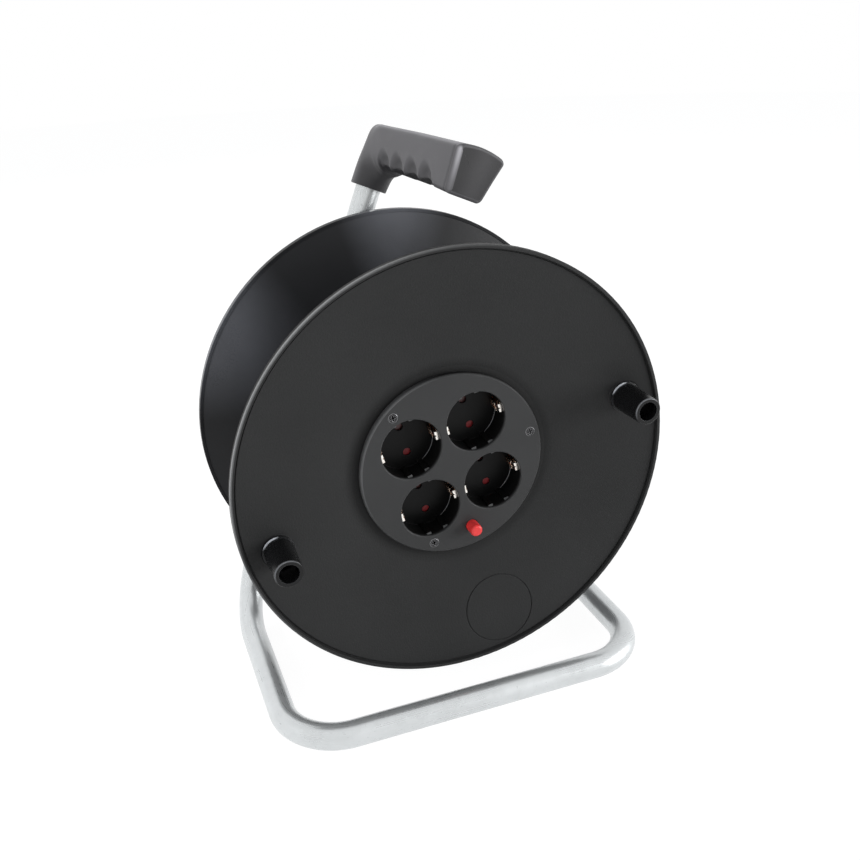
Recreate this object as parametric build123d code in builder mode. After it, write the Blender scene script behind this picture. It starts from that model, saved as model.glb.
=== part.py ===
from build123d import *
import os
from math import atan, cos, radians, sin, sqrt, tan

# Extension cord reel: a drum with four earthed sockets turns on a stub axle behind it, in a stand
# bent from one steel tube. Z is up, the sockets face -Y, the floor is z = 0, millimetres.
# "Depth" is measured backwards, along +Y, from the front edge of the front rim.

# ---------------------------------------------------------------- driving dimensions

# drum
drum_radius = 145.0
rear_radius = 143.4          # the rear rim is a little smaller
drum_depth = 134.5           # front edge of the front rim to back edge of the rear rim
axle_height = 160.0
drum_turn = 13.8             # how far the drum stands turned at rest, in degrees
rim_wall = 2.2
rim_width = 5.0
rim_edge = 0.35              # rounding of the rims' outer edges
rim_groove_width = 1.2       # groove just inside each rim
rim_groove_depth = 1.0
rim_lip = 2.0                # how far the rim stands proud of the face inside it
dish = 14.8                  # how far the flange falls from the rim to its flat land
web_wall = 2.6
land_radius = 66.5
opening_radius = 59.2
core_radius = 64.0
core_wall = 3.0
ring_radius = 24.3           # moulded circle on the front face
ring_pitch_radius = 116.0
ring_line = 0.8
ring_depth = 0.5

# socket plate
plate_radius = 62.2
plate_proud = 4.2
plate_wall = 3.0
plate_edge = 0.7
socket_radius = 20.2
socket_depth = 17.5
socket_edge = 0.5            # bevel at each recess's mouth
socket_pitch_radius = 32.2
cup_wall = 1.6
pin_offset = 9.5
pin_hole_radius = 2.7
guide_offset = 6.0
guide_width = 3.2
guide_height = 1.4
guide_drop = 2.5             # guide ribs start this far below the plate's face
plate_screw_pitch_radius = 55.8
plate_screw_radius = 1.5
plate_screw_head_radius = 3.2
plate_screw_length = 24.0
screw_post_radius = 3.1
screw_boss_radius = 3.9
screw_rib_wall = 2.4
screw_boss_length = 22.0
cross_width = 0.9            # cross recess in the screw heads

# contacts behind the plate
shutter_wall = 2.0
shutter_lobe_radius = 3.6
shutter_hub_radius = 4.5
pivot_radius = 2.0
strip_wall = 0.8
strip_width = 5.6
clip_slot = 1.0
clip_bulge = 3.6             # how far an earth clip reaches into the recess from its leg
carrier_radius = 53.0
carrier_wall = 4.0
tower_height = 10.0
tower_radius = 5.0
contact_radius = 3.3
contact_bore_radius = 2.35
contact_slit = 0.8
bus_wall = 1.0
bus_width = 6.0
bus_gap = 1.0
bus_link_offset = 6.5
side_post_offset = 44.0
post_radius = 3.5
carrier_screw_radius = 1.5
carrier_screw_head_radius = 2.9
carrier_screw_head_height = 2.0
carrier_screw_bite = 10.0    # thread length in the plate's posts
terminal_size = (24.0, 13.0, 17.0)
terminal_offset = 26.0
terminal_pitch = 8.0
terminal_bore_radius = 2.2
terminal_screw_radius = 2.0
terminal_screw_length = 6.5
terminal_screw_sink = 0.5
terminal_bore_height = 5.0   # wire holes above the carrier

# overload cut-out
button_offset = 48.0
button_radius = 4.1
button_reach = 9.0           # how far the button stands out of the plate
button_travel = 3.0
button_dome = 1.6
button_collar_radius = 4.9
button_collar_wall = 1.5
button_length = 23.0
cutout_width = 16.0
cutout_above = 8.0
cutout_below = 9.0
spring_radius = 2.6
spring_wire = 0.6
spring_length = 8.6
spring_turns = 5

# winding knobs
knob_inset = 22.3            # from the rim's edge to the knobs' axes
knob_length = 29.0
knob_radius = 9.6
knob_taper = 1.2             # degrees
knob_collar_radius = 10.4
knob_collar_wall = 1.6
knob_bore_radius = 6.3
knob_bore_depth = 21.0
knob_pad_rise = 1.0          # the pad under the knob stands this far in front of the web
knob_pad_radius = 10.0
knob_screw_shoulder_radius = 3.1
knob_screw_thread_radius = 2.4
knob_screw_head_radius = 5.0
knob_screw_head_height = 3.0
knob_boss_radius = 6.0
knob_boss_length = 9.0

# hub and axle
hub_radius = 18.0
hub_length = 43.0
hub_rib_wall = 2.5
hub_rib_radius = 50.0
hub_rib_height = 14.0
axle_radius = 7.0
axle_thread_radius = 5.0
collar_radius = 12.0
bush_wall = 2.2
bush_flange_radius = 13.5
bush_flange_wall = 2.0
bush_length = 14.0
retainer_radius = 13.0
retainer_wall = 2.0
retainer_screw_radius = 3.0
retainer_screw_head_radius = 5.0
retainer_screw_head_height = 3.5
retainer_screw_length = 12.0

# cable inlet in the core
gland_turn = 200.0
gland_bore_radius = 4.3
gland_body_radius = 7.0
gland_head_radius = 10.0
gland_head_height = 4.0
gland_nut_height = 4.0
gland_pad_radius = 12.0
gland_pad_rise = 1.5

# stand
tube_radius = 8.75
tube_wall = 1.2
base_half_width = 125.2
base_shift = -4.3            # the loop's middle lies this far to the side of the drum's axis
front_reach = 31.4           # front bar's centre ahead of the front rim
corner_bend = 39.0
rear_bend = 49.0
upright_lean = 22.1          # degrees from the vertical
stand_gap = 3.75             # between the rear rim and the uprights
short_leg_rise = 34.0        # the short leg's end above the axle
plug_wall = 1.6
plug_length = 14.0
hub_plate_wall = 3.0
hub_plate_height = 52.0
hub_plate_margin = 12.0
hub_plate_lip = 9.0
hub_plate_lip_half_length = 36.0
bolt_pitch = 28.0
bolt_radius = 3.0
bolt_head_radius = 5.6
bolt_head_height = 4.0
bolt_tail = 2.0
nut_height = 5.0
axle_nut_radius = 9.2
axle_nut_height = 8.0

# grip
grip_length = 118.4          # along the grip, from the upright's centre line to the front face
grip_yaw = 9.8               # degrees the grip swings from the drum's axis
grip_pitch = 2.0             # degrees it rises to the front
grip_back = 12.2             # back face behind the upright's centre line, at the bottom
grip_back_top = 6.8          # the same at the top
grip_top = 18.5              # top above the grip's centre line
grip_crown = 2.6             # how far the top falls from its middle to its edges
grip_bottom = 11.8           # underside below the centre line, at the elbow
grip_front_bottom = 13.0     # the same at the front face
grip_width = 35.8            # across the top, at the front face
grip_back_width = 29.8       # across the top, at the elbow
grip_bottom_width = 26.0     # across the underside
grip_edge = 3.0
elbow_edge = 4.5
elbow_web = 10.0             # brace inside the elbow
grip_rise = 180.0            # centre line above the axle, on the upright
sleeve_radius = 12.6
sleeve_drop = 25.2           # sleeve's end below the grip's centre line
tube_in_grip = 33.0
groove_radius = 11.0
groove_depth = 3.0
groove_pitch = 18.0
groove_start = 37.0          # first finger groove from the upright
groove_count = 4
grip_screw_radius = 2.0
grip_screw_head_radius = 3.6
grip_screw_head_height = 2.2

# clearances
running_fit = 0.06           # radial, shaft in bush
free_gap = 0.3               # between parts that move past each other
slide_gap = 0.4
seat_gap = 0.05              # radial, parts pressed or screwed together

# ---------------------------------------------------------------- worked out from these

web_front_at_rim = rim_lip
land_front = rim_lip + dish
land_back = land_front + web_wall
rear_web_back = drum_depth - rim_lip - dish
rear_web_front = rear_web_back - web_wall
rim_inner = drum_radius - rim_wall
rear_rim_inner = rear_radius - rim_wall
knob_pitch_radius = drum_radius - knob_inset
plate_front = land_front - plate_proud
plate_back = plate_front + plate_wall
floor_front = plate_front + socket_depth
floor_back = floor_front + cup_wall
shutter_front = floor_back + free_gap
shutter_back = shutter_front + shutter_wall
carrier_front = shutter_back + slide_gap
carrier_back = carrier_front + carrier_wall
tower_back = carrier_back + tower_height
tube_depth = drum_depth + stand_gap + tube_radius
hub_plate_front = tube_depth - tube_radius - hub_plate_wall
nut_seat = tube_depth + tube_radius
hub_front = rear_web_front - hub_length
bush_front = hub_front - bush_flange_wall
axle_front = bush_front - free_gap
collar_front = rear_web_back + bush_flange_wall + slide_gap
socket_step = socket_pitch_radius / sqrt(2)
socket_spots = [(-socket_step, socket_step), (socket_step, socket_step),
                (-socket_step, -socket_step), (socket_step, -socket_step)]
socket_names = ["upper_left", "upper_right", "lower_left", "lower_right"]
screw_angles = [0, 120, 240]
rear_screw_angles = [45, 135, 225, 315]
knob_sides = {"right": 1, "left": -1}

front_reach_out = front_reach + tube_radius
back_reach_out = nut_seat + nut_height + bolt_tail
rim_front = (front_reach_out - back_reach_out) / 2
tube_z = tube_radius
lean = radians(upright_lean)
base_left = base_shift - base_half_width
base_right = base_shift + base_half_width


def cone_depth(radius):
    """Depth of the front flange's outer face at a radius: it falls evenly from rim to land."""
    share = (rim_inner - radius) / (rim_inner - land_radius)
    return web_front_at_rim + dish * share


def face(depth):
    """Plane across the drum at a depth, facing the front and turned with the drum."""
    turn = radians(drum_turn)
    origin = (0, rim_front + depth, axle_height)
    return Plane(origin=origin, x_dir=(cos(turn), 0, sin(turn)), z_dir=(0, -1, 0))


def upright(depth):
    """Plane across the stand at a depth, facing the front, with z straight up."""
    return Plane(origin=(0, rim_front + depth, axle_height), x_dir=(1, 0, 0), z_dir=(0, -1, 0))


def polar(radius, angle):
    """Point in a face plane, from a radius and an angle in degrees."""
    return (radius * cos(radians(angle)), radius * sin(radians(angle)))


# half section through the drum's axis: x is the radius, y is the depth
section = Plane(origin=(0, rim_front, axle_height), x_dir=(1, 0, 0), z_dir=(0, 0, 1))
drum_axis = Axis((0, rim_front, axle_height), (0, 1, 0))


def turned(*points, mode=Mode.ADD):
    """Solid of revolution about the drum's axis from (radius, depth) points."""
    with BuildSketch(section) as profile:
        with BuildLine():
            Polyline(*points, close=True)
        make_face()
    revolve(profile.sketch, axis=drum_axis, mode=mode)


def rod(spot, radius, front, back, mode=Mode.ADD):
    """Cylinder along the drum's axis at a spot of the face, from one depth to another."""
    with BuildSketch(face(back)) as profile:
        with Locations(spot):
            Circle(radius)
    extrude(profile.sketch, amount=back - front, mode=mode)


def bar(spot, width, height, front, back, mode=Mode.ADD):
    """Rectangular bar along the drum's axis at a spot of the face."""
    with BuildSketch(face(back)) as profile:
        with Locations(spot):
            Rectangle(width, height)
    extrude(profile.sketch, amount=back - front, mode=mode)


def cross_recess(spot, front, reach, deep):
    """Cross-shaped driver recess, narrower than the head it is cut into."""
    bar(spot, 2 * reach, cross_width, front, front + deep, mode=Mode.SUBTRACT)
    bar(spot, cross_width, 2 * reach, front, front + deep, mode=Mode.SUBTRACT)


def save(piece, name):
    """Name a finished piece and write it."""
    piece.part.label = name
    export_step(piece.part, f"parts/{name}.step")


os.makedirs("parts", exist_ok=True)

# ---------------------------------------------------------------- drum shell

# front flange: rim, dished web, flat land round the socket plate, pads and bosses for the knobs
with BuildPart() as ring_mark:
    turned(
        (land_radius, land_front - ring_depth), (rim_inner, web_front_at_rim - ring_depth),
        (rim_inner, web_front_at_rim + ring_depth), (land_radius, land_front + ring_depth),
    )
    with BuildSketch(face(land_back)):
        with Locations(polar(ring_pitch_radius, -90)):
            Circle(ring_radius)
            Circle(ring_radius - ring_line, mode=Mode.SUBTRACT)
    extrude(amount=land_back, mode=Mode.INTERSECT)

knob_pad_front = cone_depth(knob_pitch_radius) - knob_pad_rise
groove_inner = rim_inner - rim_groove_width
with BuildPart() as front_flange:
    turned(
        (rim_inner, 0), (drum_radius, 0), (drum_radius, rim_width), (rim_inner, rim_width),
        (rim_inner, web_front_at_rim + web_wall), (land_radius, land_back), (opening_radius, land_back),
        (opening_radius, land_front), (land_radius, land_front), (groove_inner, cone_depth(groove_inner)),
        (groove_inner, web_front_at_rim + rim_groove_depth),
        (rim_inner, web_front_at_rim + rim_groove_depth),
    )
    fillet(front_flange.edges().filter_by(GeomType.CIRCLE).group_by(SortBy.RADIUS)[-1], rim_edge)
    for side in knob_sides.values():
        spot = (side * knob_pitch_radius, 0)
        boss_back = cone_depth(knob_pitch_radius) + knob_boss_length
        rod(spot, knob_collar_radius + slide_gap, 0, knob_pad_front, mode=Mode.SUBTRACT)
        rod(spot, knob_pad_radius, knob_pad_front, cone_depth(knob_pitch_radius) + web_wall)
        rod(spot, knob_boss_radius, knob_pad_front, boss_back)
        rod(spot, knob_screw_thread_radius + seat_gap, knob_pad_front, boss_back, mode=Mode.SUBTRACT)
    add(ring_mark.part, mode=Mode.SUBTRACT)
save(front_flange, "front_flange")

# rear flange: the same rim and web facing backwards, closed in the middle, with the hub and ribs
rear_web_back_at_rim = drum_depth - rim_lip
rear_groove_inner = rear_rim_inner - rim_groove_width
rear_groove_depth = rear_web_back_at_rim - dish * rim_groove_width / (rear_rim_inner - land_radius)
with BuildPart() as rear_flange:
    turned(
        (0, rear_web_front), (land_radius, rear_web_front),
        (rear_rim_inner, rear_web_back_at_rim - web_wall), (rear_rim_inner, drum_depth - rim_width),
        (rear_radius, drum_depth - rim_width), (rear_radius, drum_depth), (rear_rim_inner, drum_depth),
        (rear_rim_inner, rear_web_back_at_rim - rim_groove_depth),
        (rear_groove_inner, rear_web_back_at_rim - rim_groove_depth),
        (rear_groove_inner, rear_groove_depth), (land_radius, rear_web_back), (0, rear_web_back),
    )
    fillet(rear_flange.edges().filter_by(GeomType.CIRCLE).group_by(SortBy.RADIUS)[-1], rim_edge)
    rod((0, 0), hub_radius, hub_front, rear_web_front)
    for angle in (0, 60, 120):
        with BuildSketch(face(rear_web_front)):
            Rectangle(2 * hub_rib_radius, hub_rib_wall, rotation=angle)
        extrude(amount=hub_rib_height)
    rod((0, 0), axle_radius + running_fit + bush_wall, hub_front, rear_web_back, mode=Mode.SUBTRACT)
    for angle in rear_screw_angles:
        spot = polar(plate_screw_pitch_radius, angle)
        rod(spot, plate_screw_radius + free_gap, rear_web_front, rear_web_back, mode=Mode.SUBTRACT)
save(rear_flange, "rear_flange")

# core: the tube that the cable winds on, with screw bosses at both ends and the inlet's pad
gland_depth = (land_back + rear_web_front) / 2
gland_dir = radians(drum_turn + gland_turn)


def gland_plane(radius):
    """Plane square to the inlet's axis, at a radius from the drum's axis, facing outwards."""
    point = (radius * cos(gland_dir), rim_front + gland_depth, axle_height + radius * sin(gland_dir))
    return Plane(origin=point, x_dir=(0, 1, 0), z_dir=(cos(gland_dir), 0, sin(gland_dir)))


def core_rib(angle, front, back):
    """Rib that ties a screw boss to the core's wall."""
    with BuildSketch(face(back)) as profile:
        wall_middle = core_radius - core_wall / 2
        with Locations(polar((plate_screw_pitch_radius + wall_middle) / 2, angle)):
            Rectangle(wall_middle - plate_screw_pitch_radius, screw_rib_wall, rotation=angle)
    extrude(profile.sketch, amount=back - front)


gland_out = core_radius + gland_pad_rise
gland_in = core_radius - core_wall - gland_pad_rise
with BuildPart() as core:
    turned((core_radius - core_wall, land_back), (core_radius, land_back),
           (core_radius, rear_web_front), (core_radius - core_wall, rear_web_front))
    for angle in screw_angles:
        spot = polar(plate_screw_pitch_radius, angle)
        rod(spot, screw_boss_radius, land_back, land_back + screw_boss_length)
        core_rib(angle, land_back, land_back + screw_boss_length)
        rod(spot, plate_screw_radius + seat_gap, land_back, land_back + screw_boss_length,
            mode=Mode.SUBTRACT)
    for angle in rear_screw_angles:
        spot = polar(plate_screw_pitch_radius, angle)
        rod(spot, screw_boss_radius, rear_web_front - screw_boss_length, rear_web_front)
        core_rib(angle, rear_web_front - screw_boss_length, rear_web_front)
        rod(spot, plate_screw_radius + seat_gap, rear_web_front - screw_boss_length, rear_web_front,
            mode=Mode.SUBTRACT)
    with BuildSketch(gland_plane(gland_in)):
        Circle(gland_pad_radius)
    extrude(amount=gland_out - gland_in)
    with BuildSketch(gland_plane(gland_in)):
        Circle(gland_body_radius + seat_gap)
    extrude(amount=gland_out - gland_in, mode=Mode.SUBTRACT)
save(core, "drum_core")

# cable inlet: a bushing through the core's wall and the nut inside
with BuildPart() as gland:
    with BuildSketch(gland_plane(gland_in - gland_nut_height)):
        Circle(gland_body_radius)
    extrude(amount=gland_out - gland_in + gland_nut_height)
    with BuildSketch(gland_plane(gland_out)):
        Circle(gland_head_radius)
    extrude(amount=gland_head_height)
    with BuildSketch(gland_plane(gland_in - gland_nut_height)):
        Circle(gland_bore_radius)
    extrude(amount=gland_out - gland_in + gland_nut_height + gland_head_height, mode=Mode.SUBTRACT)
    outwards = Axis((0, 0, 0), gland_plane(0).z_dir)
    fillet(gland.edges().filter_by(GeomType.CIRCLE).sort_by(outwards)[-1], 1.0)
save(gland, "cable_gland")

with BuildPart() as gland_nut:
    with BuildSketch(gland_plane(gland_in - gland_nut_height)):
        RegularPolygon(gland_head_radius, 6)
        Circle(gland_body_radius + seat_gap, mode=Mode.SUBTRACT)
    extrude(amount=gland_nut_height)
save(gland_nut, "gland_nut")

# rear core screws, pan heads on the back of the rear flange
with BuildPart() as core_screws:
    for angle in rear_screw_angles:
        spot = polar(plate_screw_pitch_radius, angle)
        rod(spot, plate_screw_radius, rear_web_back - plate_screw_length + screw_post_radius, rear_web_back)
        rod(spot, plate_screw_head_radius, rear_web_back, rear_web_back + carrier_screw_head_height)
        bar(spot, 2 * plate_screw_radius, cross_width, rear_web_back + carrier_screw_head_height / 2,
            rear_web_back + carrier_screw_head_height, mode=Mode.SUBTRACT)
        bar(spot, cross_width, 2 * plate_screw_radius, rear_web_back + carrier_screw_head_height / 2,
            rear_web_back + carrier_screw_head_height, mode=Mode.SUBTRACT)
save(core_screws, "core_screws")

# ---------------------------------------------------------------- socket plate

carrier_posts = [(0, 0), (side_post_offset, 0), (-side_post_offset, 0)]
button_spot = (0, -button_offset)
leg_offset = socket_radius + cup_wall / 2
with BuildPart() as plate:
    turned(
        (0, plate_front), (plate_radius - plate_edge, plate_front), (plate_radius, plate_front + plate_edge),
        (plate_radius, land_front), (plate_radius - plate_wall, land_front),
        (plate_radius - plate_wall, plate_back), (0, plate_back),
    )
    for spot in socket_spots:
        rod(spot, socket_radius + cup_wall, plate_back, floor_back)
    for spot in socket_spots:
        rod(spot, socket_radius, plate_front, floor_front, mode=Mode.SUBTRACT)
        with BuildSketch(face(plate_front)):
            with Locations(spot):
                Circle(socket_radius + socket_edge)
        extrude(amount=-socket_edge, taper=45, mode=Mode.SUBTRACT)
        rod(spot, pivot_radius, floor_back, shutter_back + free_gap / 2)
    for u, v in socket_spots:
        for side in (1, -1):
            for along in (guide_offset, -guide_offset):
                guide_outer = sqrt(leg_offset ** 2 - (guide_offset + guide_width / 2) ** 2)
                guide_inner = sqrt(socket_radius ** 2 - guide_offset ** 2) - guide_height
                guide_spot = (u + along, v + side * (guide_outer + guide_inner) / 2)
                bar(guide_spot, guide_width, guide_outer - guide_inner, plate_front + guide_drop,
                    floor_front)
            rod((u, v + side * pin_offset), pin_hole_radius, floor_front, floor_back, mode=Mode.SUBTRACT)
            leg_spot = (u + side * leg_offset, v)
            bar(leg_spot, 2 * cup_wall, strip_width + 2 * free_gap, plate_back + free_gap, floor_back,
                mode=Mode.SUBTRACT)
    for spot in carrier_posts:
        rod(spot, post_radius, plate_back, carrier_front)
        rod(spot, carrier_screw_radius + seat_gap, plate_back, carrier_front, mode=Mode.SUBTRACT)
    for angle in screw_angles:
        spot = polar(plate_screw_pitch_radius, angle)
        rod(spot, screw_post_radius, plate_back, land_back)
        with BuildSketch(face(plate_front)):
            with Locations(spot):
                Circle(plate_screw_head_radius + seat_gap)
        extrude(amount=-plate_screw_head_radius, taper=45, mode=Mode.SUBTRACT)
        rod(spot, plate_screw_radius + seat_gap, plate_front, land_back, mode=Mode.SUBTRACT)
    rod(button_spot, button_radius + free_gap, plate_front, plate_back, mode=Mode.SUBTRACT)
save(plate, "socket_plate")

# plate screws: three countersunk cross-head screws into the core
with BuildPart() as plate_screws:
    for angle in screw_angles:
        spot = polar(plate_screw_pitch_radius, angle)
        rod(spot, plate_screw_radius, plate_front + 0.5, plate_front + plate_screw_length)
        with BuildSketch(face(plate_front)):
            with Locations(spot):
                Circle(plate_screw_head_radius)
        extrude(amount=-(plate_screw_head_radius - plate_screw_radius), taper=45)
        cross_recess(spot, plate_front, plate_screw_head_radius * 0.62, 1.0)
save(plate_screws, "plate_screws")

# shutters: a red rotor behind each recess floor covers both pin holes
for name, (u, v) in zip(socket_names, socket_spots):
    with BuildPart() as shutter:
        with BuildSketch(face(shutter_back)):
            with Locations((u, v)):
                Rectangle(2 * shutter_lobe_radius * 0.7, 2 * pin_offset)
                Circle(shutter_hub_radius)
            with Locations((u, v + pin_offset), (u, v - pin_offset)):
                Circle(shutter_lobe_radius)
            with Locations((u, v)):
                Circle(pivot_radius + 2 * running_fit, mode=Mode.SUBTRACT)
        extrude(amount=shutter_wall)
    save(shutter, f"shutter_{name}")

# earth frame: one copper stamping, two straps joined by a link, with a folded clip each side of a recess
clip_front = plate_back + 2 * free_gap + strip_wall
with BuildPart() as earth_frame:
    for v in (socket_step, -socket_step):
        bar((0, v), 2 * (socket_step + leg_offset) + strip_wall, strip_width, carrier_front,
            carrier_front + strip_wall)
    bar((0, 0), strip_width, 2 * socket_step, carrier_front, carrier_front + strip_wall)
    rod((0, 0), carrier_screw_radius + free_gap, carrier_front, carrier_front + strip_wall,
        mode=Mode.SUBTRACT)
    for u, v in socket_spots:
        for side in (1, -1):
            clip_plane = Plane(origin=face(0).from_local_coords(Vector(u, v, 0)),
                               x_dir=face(0).x_dir * side, z_dir=face(0).y_dir * side)
            leg = leg_offset
            tip = leg - clip_bulge
            with BuildSketch(clip_plane):
                with BuildLine():
                    FilletPolyline(
                        (leg, carrier_front + strip_wall), (leg, clip_front),
                        (tip + strip_wall, clip_front), (tip, clip_front + 3 * strip_wall),
                        (tip + strip_wall / 2, floor_front - strip_wall), radius=strip_wall,
                    )
                trace(line_width=strip_wall)
            extrude(amount=strip_width / 2, both=True)
            with BuildSketch(clip_plane):
                with Locations((tip + strip_wall / 4, clip_front + 4 * strip_wall)):
                    Rectangle(2.4 * strip_wall, 9 * strip_wall)
            extrude(amount=clip_slot / 2, both=True, mode=Mode.SUBTRACT)
save(earth_frame, "earth_frame")

# contact carrier: base disc with a tower for each contact and each screw
live_spots = [(u, v + pin_offset) for u, v in socket_spots]
neutral_spots = [(u, v - pin_offset) for u, v in socket_spots]
cutout_middle = -button_offset + (cutout_above - cutout_below) / 2
cutout_height = cutout_above + cutout_below
with BuildPart() as carrier:
    rod((0, 0), carrier_radius, carrier_front, carrier_back)
    for spot in live_spots + neutral_spots:
        rod(spot, tower_radius, carrier_back, tower_back)
    for spot in carrier_posts:
        rod(spot, tower_radius, carrier_back, tower_back)
    for spot in live_spots + neutral_spots:
        rod(spot, contact_radius + seat_gap, carrier_front, tower_back, mode=Mode.SUBTRACT)
    for spot in carrier_posts:
        rod(spot, carrier_screw_radius + free_gap, carrier_front, tower_back, mode=Mode.SUBTRACT)
    for angle in screw_angles:
        spot = polar(plate_screw_pitch_radius, angle)
        rod(spot, screw_boss_radius + free_gap, carrier_front, tower_back, mode=Mode.SUBTRACT)
    bar((0, cutout_middle), cutout_width + 2 * free_gap, cutout_height + 2 * free_gap, carrier_front,
        tower_back, mode=Mode.SUBTRACT)
    groove = strip_width + 2 * seat_gap
    for v in (socket_step, -socket_step):
        bar((0, v), 2 * (socket_step + leg_offset + strip_wall), groove, carrier_front,
            carrier_front + strip_wall, mode=Mode.SUBTRACT)
    bar((0, 0), groove, 2 * socket_step, carrier_front, carrier_front + strip_wall, mode=Mode.SUBTRACT)
save(carrier, "contact_carrier")

carrier_head_back = tower_back + carrier_screw_head_height
with BuildPart() as carrier_screws:
    for spot in carrier_posts:
        rod(spot, carrier_screw_radius, carrier_front - carrier_screw_bite, tower_back)
        rod(spot, carrier_screw_head_radius, tower_back, carrier_head_back)
        slot_floor = carrier_head_back - carrier_screw_head_height / 2
        bar(spot, 2 * carrier_screw_radius, cross_width, slot_floor, carrier_head_back,
            mode=Mode.SUBTRACT)
        bar(spot, cross_width, 2 * carrier_screw_radius, slot_floor, carrier_head_back,
            mode=Mode.SUBTRACT)
save(carrier_screws, "carrier_screws")


def bus(name, spots, strip_front, link_side, tail):
    """One pole's stamping: a split tube for each pin, strips along both rows and the link between."""
    strip_back = strip_front + bus_wall
    rows = sorted({v for u, v in spots})
    low = rows[0] - tail
    with BuildPart() as pole:
        for v in rows:
            bar((0, v), 2 * (socket_step + contact_radius), bus_width, strip_front, strip_back)
        link_spot = (link_side * bus_link_offset, (rows[-1] + low) / 2)
        bar(link_spot, bus_width, rows[-1] - low, strip_front, strip_back)
        for spot in spots:
            contact_front = carrier_front + 2 * strip_wall
            rod(spot, contact_radius, contact_front, strip_front)
            rod(spot, contact_bore_radius, contact_front, strip_front, mode=Mode.SUBTRACT)
            bar(spot, 2 * contact_radius, contact_slit, contact_front, strip_front - bus_wall,
                mode=Mode.SUBTRACT)
    save(pole, name)


live_tail = button_offset - socket_step + pin_offset - cutout_above / 2
bus("live_contacts", live_spots, tower_back, 1, live_tail)
bus("neutral_contacts", neutral_spots, tower_back + bus_wall + bus_gap, -1, 0)

# terminal block on the carrier, where the cable's three cores go
terminal_back = carrier_back + terminal_size[2]
terminal_screw_hole = terminal_screw_length + 2 * terminal_screw_sink
screw_head = terminal_back - terminal_screw_sink
with BuildPart() as terminal_block:
    bar((terminal_offset, 0), terminal_size[0], terminal_size[1], carrier_back, terminal_back)
    for step in (-1, 0, 1):
        spot = (terminal_offset + step * terminal_pitch, 0)
        rod(spot, terminal_screw_radius + seat_gap, terminal_back - terminal_screw_hole, terminal_back,
            mode=Mode.SUBTRACT)
        bore_plane = face(carrier_back + terminal_bore_height)
        side_plane = Plane(origin=bore_plane.from_local_coords(Vector(*spot, 0)),
                           x_dir=bore_plane.x_dir, z_dir=bore_plane.y_dir)
        with BuildSketch(side_plane):
            Circle(terminal_bore_radius)
        extrude(amount=terminal_size[1], both=True, mode=Mode.SUBTRACT)
save(terminal_block, "terminal_block")

with BuildPart() as terminal_screws:
    for step in (-1, 0, 1):
        spot = (terminal_offset + step * terminal_pitch, 0)
        rod(spot, terminal_screw_radius, screw_head - terminal_screw_length, screw_head)
        bar(spot, 2 * terminal_screw_radius, cross_width, screw_head - cross_width, screw_head,
            mode=Mode.SUBTRACT)
save(terminal_screws, "terminal_screws")

# ---------------------------------------------------------------- overload cut-out

button_front = plate_front - button_reach
button_back = button_front + button_length
button_collar_front = plate_back + 2 * free_gap + bus_wall
collar_room = button_collar_front + button_collar_wall + button_travel + free_gap
spring_back = button_back + spring_length
with BuildPart() as cutout:
    bar((0, cutout_middle), cutout_width, cutout_height, plate_back, tower_back)
    fillet(cutout.edges().filter_by(Axis.Y), 1.0)
    rod(button_spot, button_radius + free_gap, plate_back, spring_back, mode=Mode.SUBTRACT)
    rod(button_spot, button_collar_radius + free_gap, button_collar_front - free_gap, collar_room,
        mode=Mode.SUBTRACT)
save(cutout, "overload_cutout")

with BuildPart() as button:
    rod(button_spot, button_radius, button_front, button_back)
    fillet(button.edges().filter_by(GeomType.CIRCLE).sort_by(Axis.Y)[0], button_dome)
    rod(button_spot, button_collar_radius, button_collar_front, button_collar_front + button_collar_wall)
save(button, "reset_button")

with BuildPart() as button_spring:
    spring_frame = face(spring_back - spring_wire / 2)
    spring_center = spring_frame.from_local_coords(Vector(*button_spot, 0))
    spring_height = spring_length - spring_wire
    with BuildLine():
        coil = Helix(pitch=spring_height / spring_turns, height=spring_height, radius=spring_radius,
                     center=spring_center, direction=(0, -1, 0))
    with BuildSketch(Plane(origin=coil @ 0, z_dir=coil % 0)):
        Circle(spring_wire / 2)
    sweep(path=coil, is_frenet=True)
save(button_spring, "reset_spring")

# ---------------------------------------------------------------- winding knobs

knob_back = knob_pad_front - free_gap
knob_tip = knob_back - knob_length
knob_floor = knob_tip + knob_bore_depth
for name, side in knob_sides.items():
    spot = (side * knob_pitch_radius, 0)
    with BuildPart() as knob:
        rod(spot, knob_collar_radius, knob_back - knob_collar_wall, knob_back)
        with BuildSketch(face(knob_back)):
            with Locations(spot):
                Circle(knob_radius)
        extrude(amount=knob_length, taper=knob_taper)
        fillet(knob.edges().filter_by(GeomType.CIRCLE).sort_by(Axis.Y)[0], 0.8)
        rod(spot, knob_bore_radius, knob_tip, knob_floor, mode=Mode.SUBTRACT)
        rod(spot, knob_screw_shoulder_radius + running_fit, knob_floor, knob_back, mode=Mode.SUBTRACT)
    save(knob, f"knob_{name}")

screw_head_back = knob_floor - free_gap
with BuildPart() as knob_screws:
    for side in knob_sides.values():
        spot = (side * knob_pitch_radius, 0)
        rod(spot, knob_screw_head_radius, screw_head_back - knob_screw_head_height, screw_head_back)
        rod(spot, knob_screw_shoulder_radius, screw_head_back, knob_pad_front)
        rod(spot, knob_screw_thread_radius, knob_pad_front, knob_pad_front + knob_boss_length)
        cross_recess(spot, screw_head_back - knob_screw_head_height, knob_screw_head_radius * 0.6, 1.5)
save(knob_screws, "knob_screws")

# ---------------------------------------------------------------- axle and bearings

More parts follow.
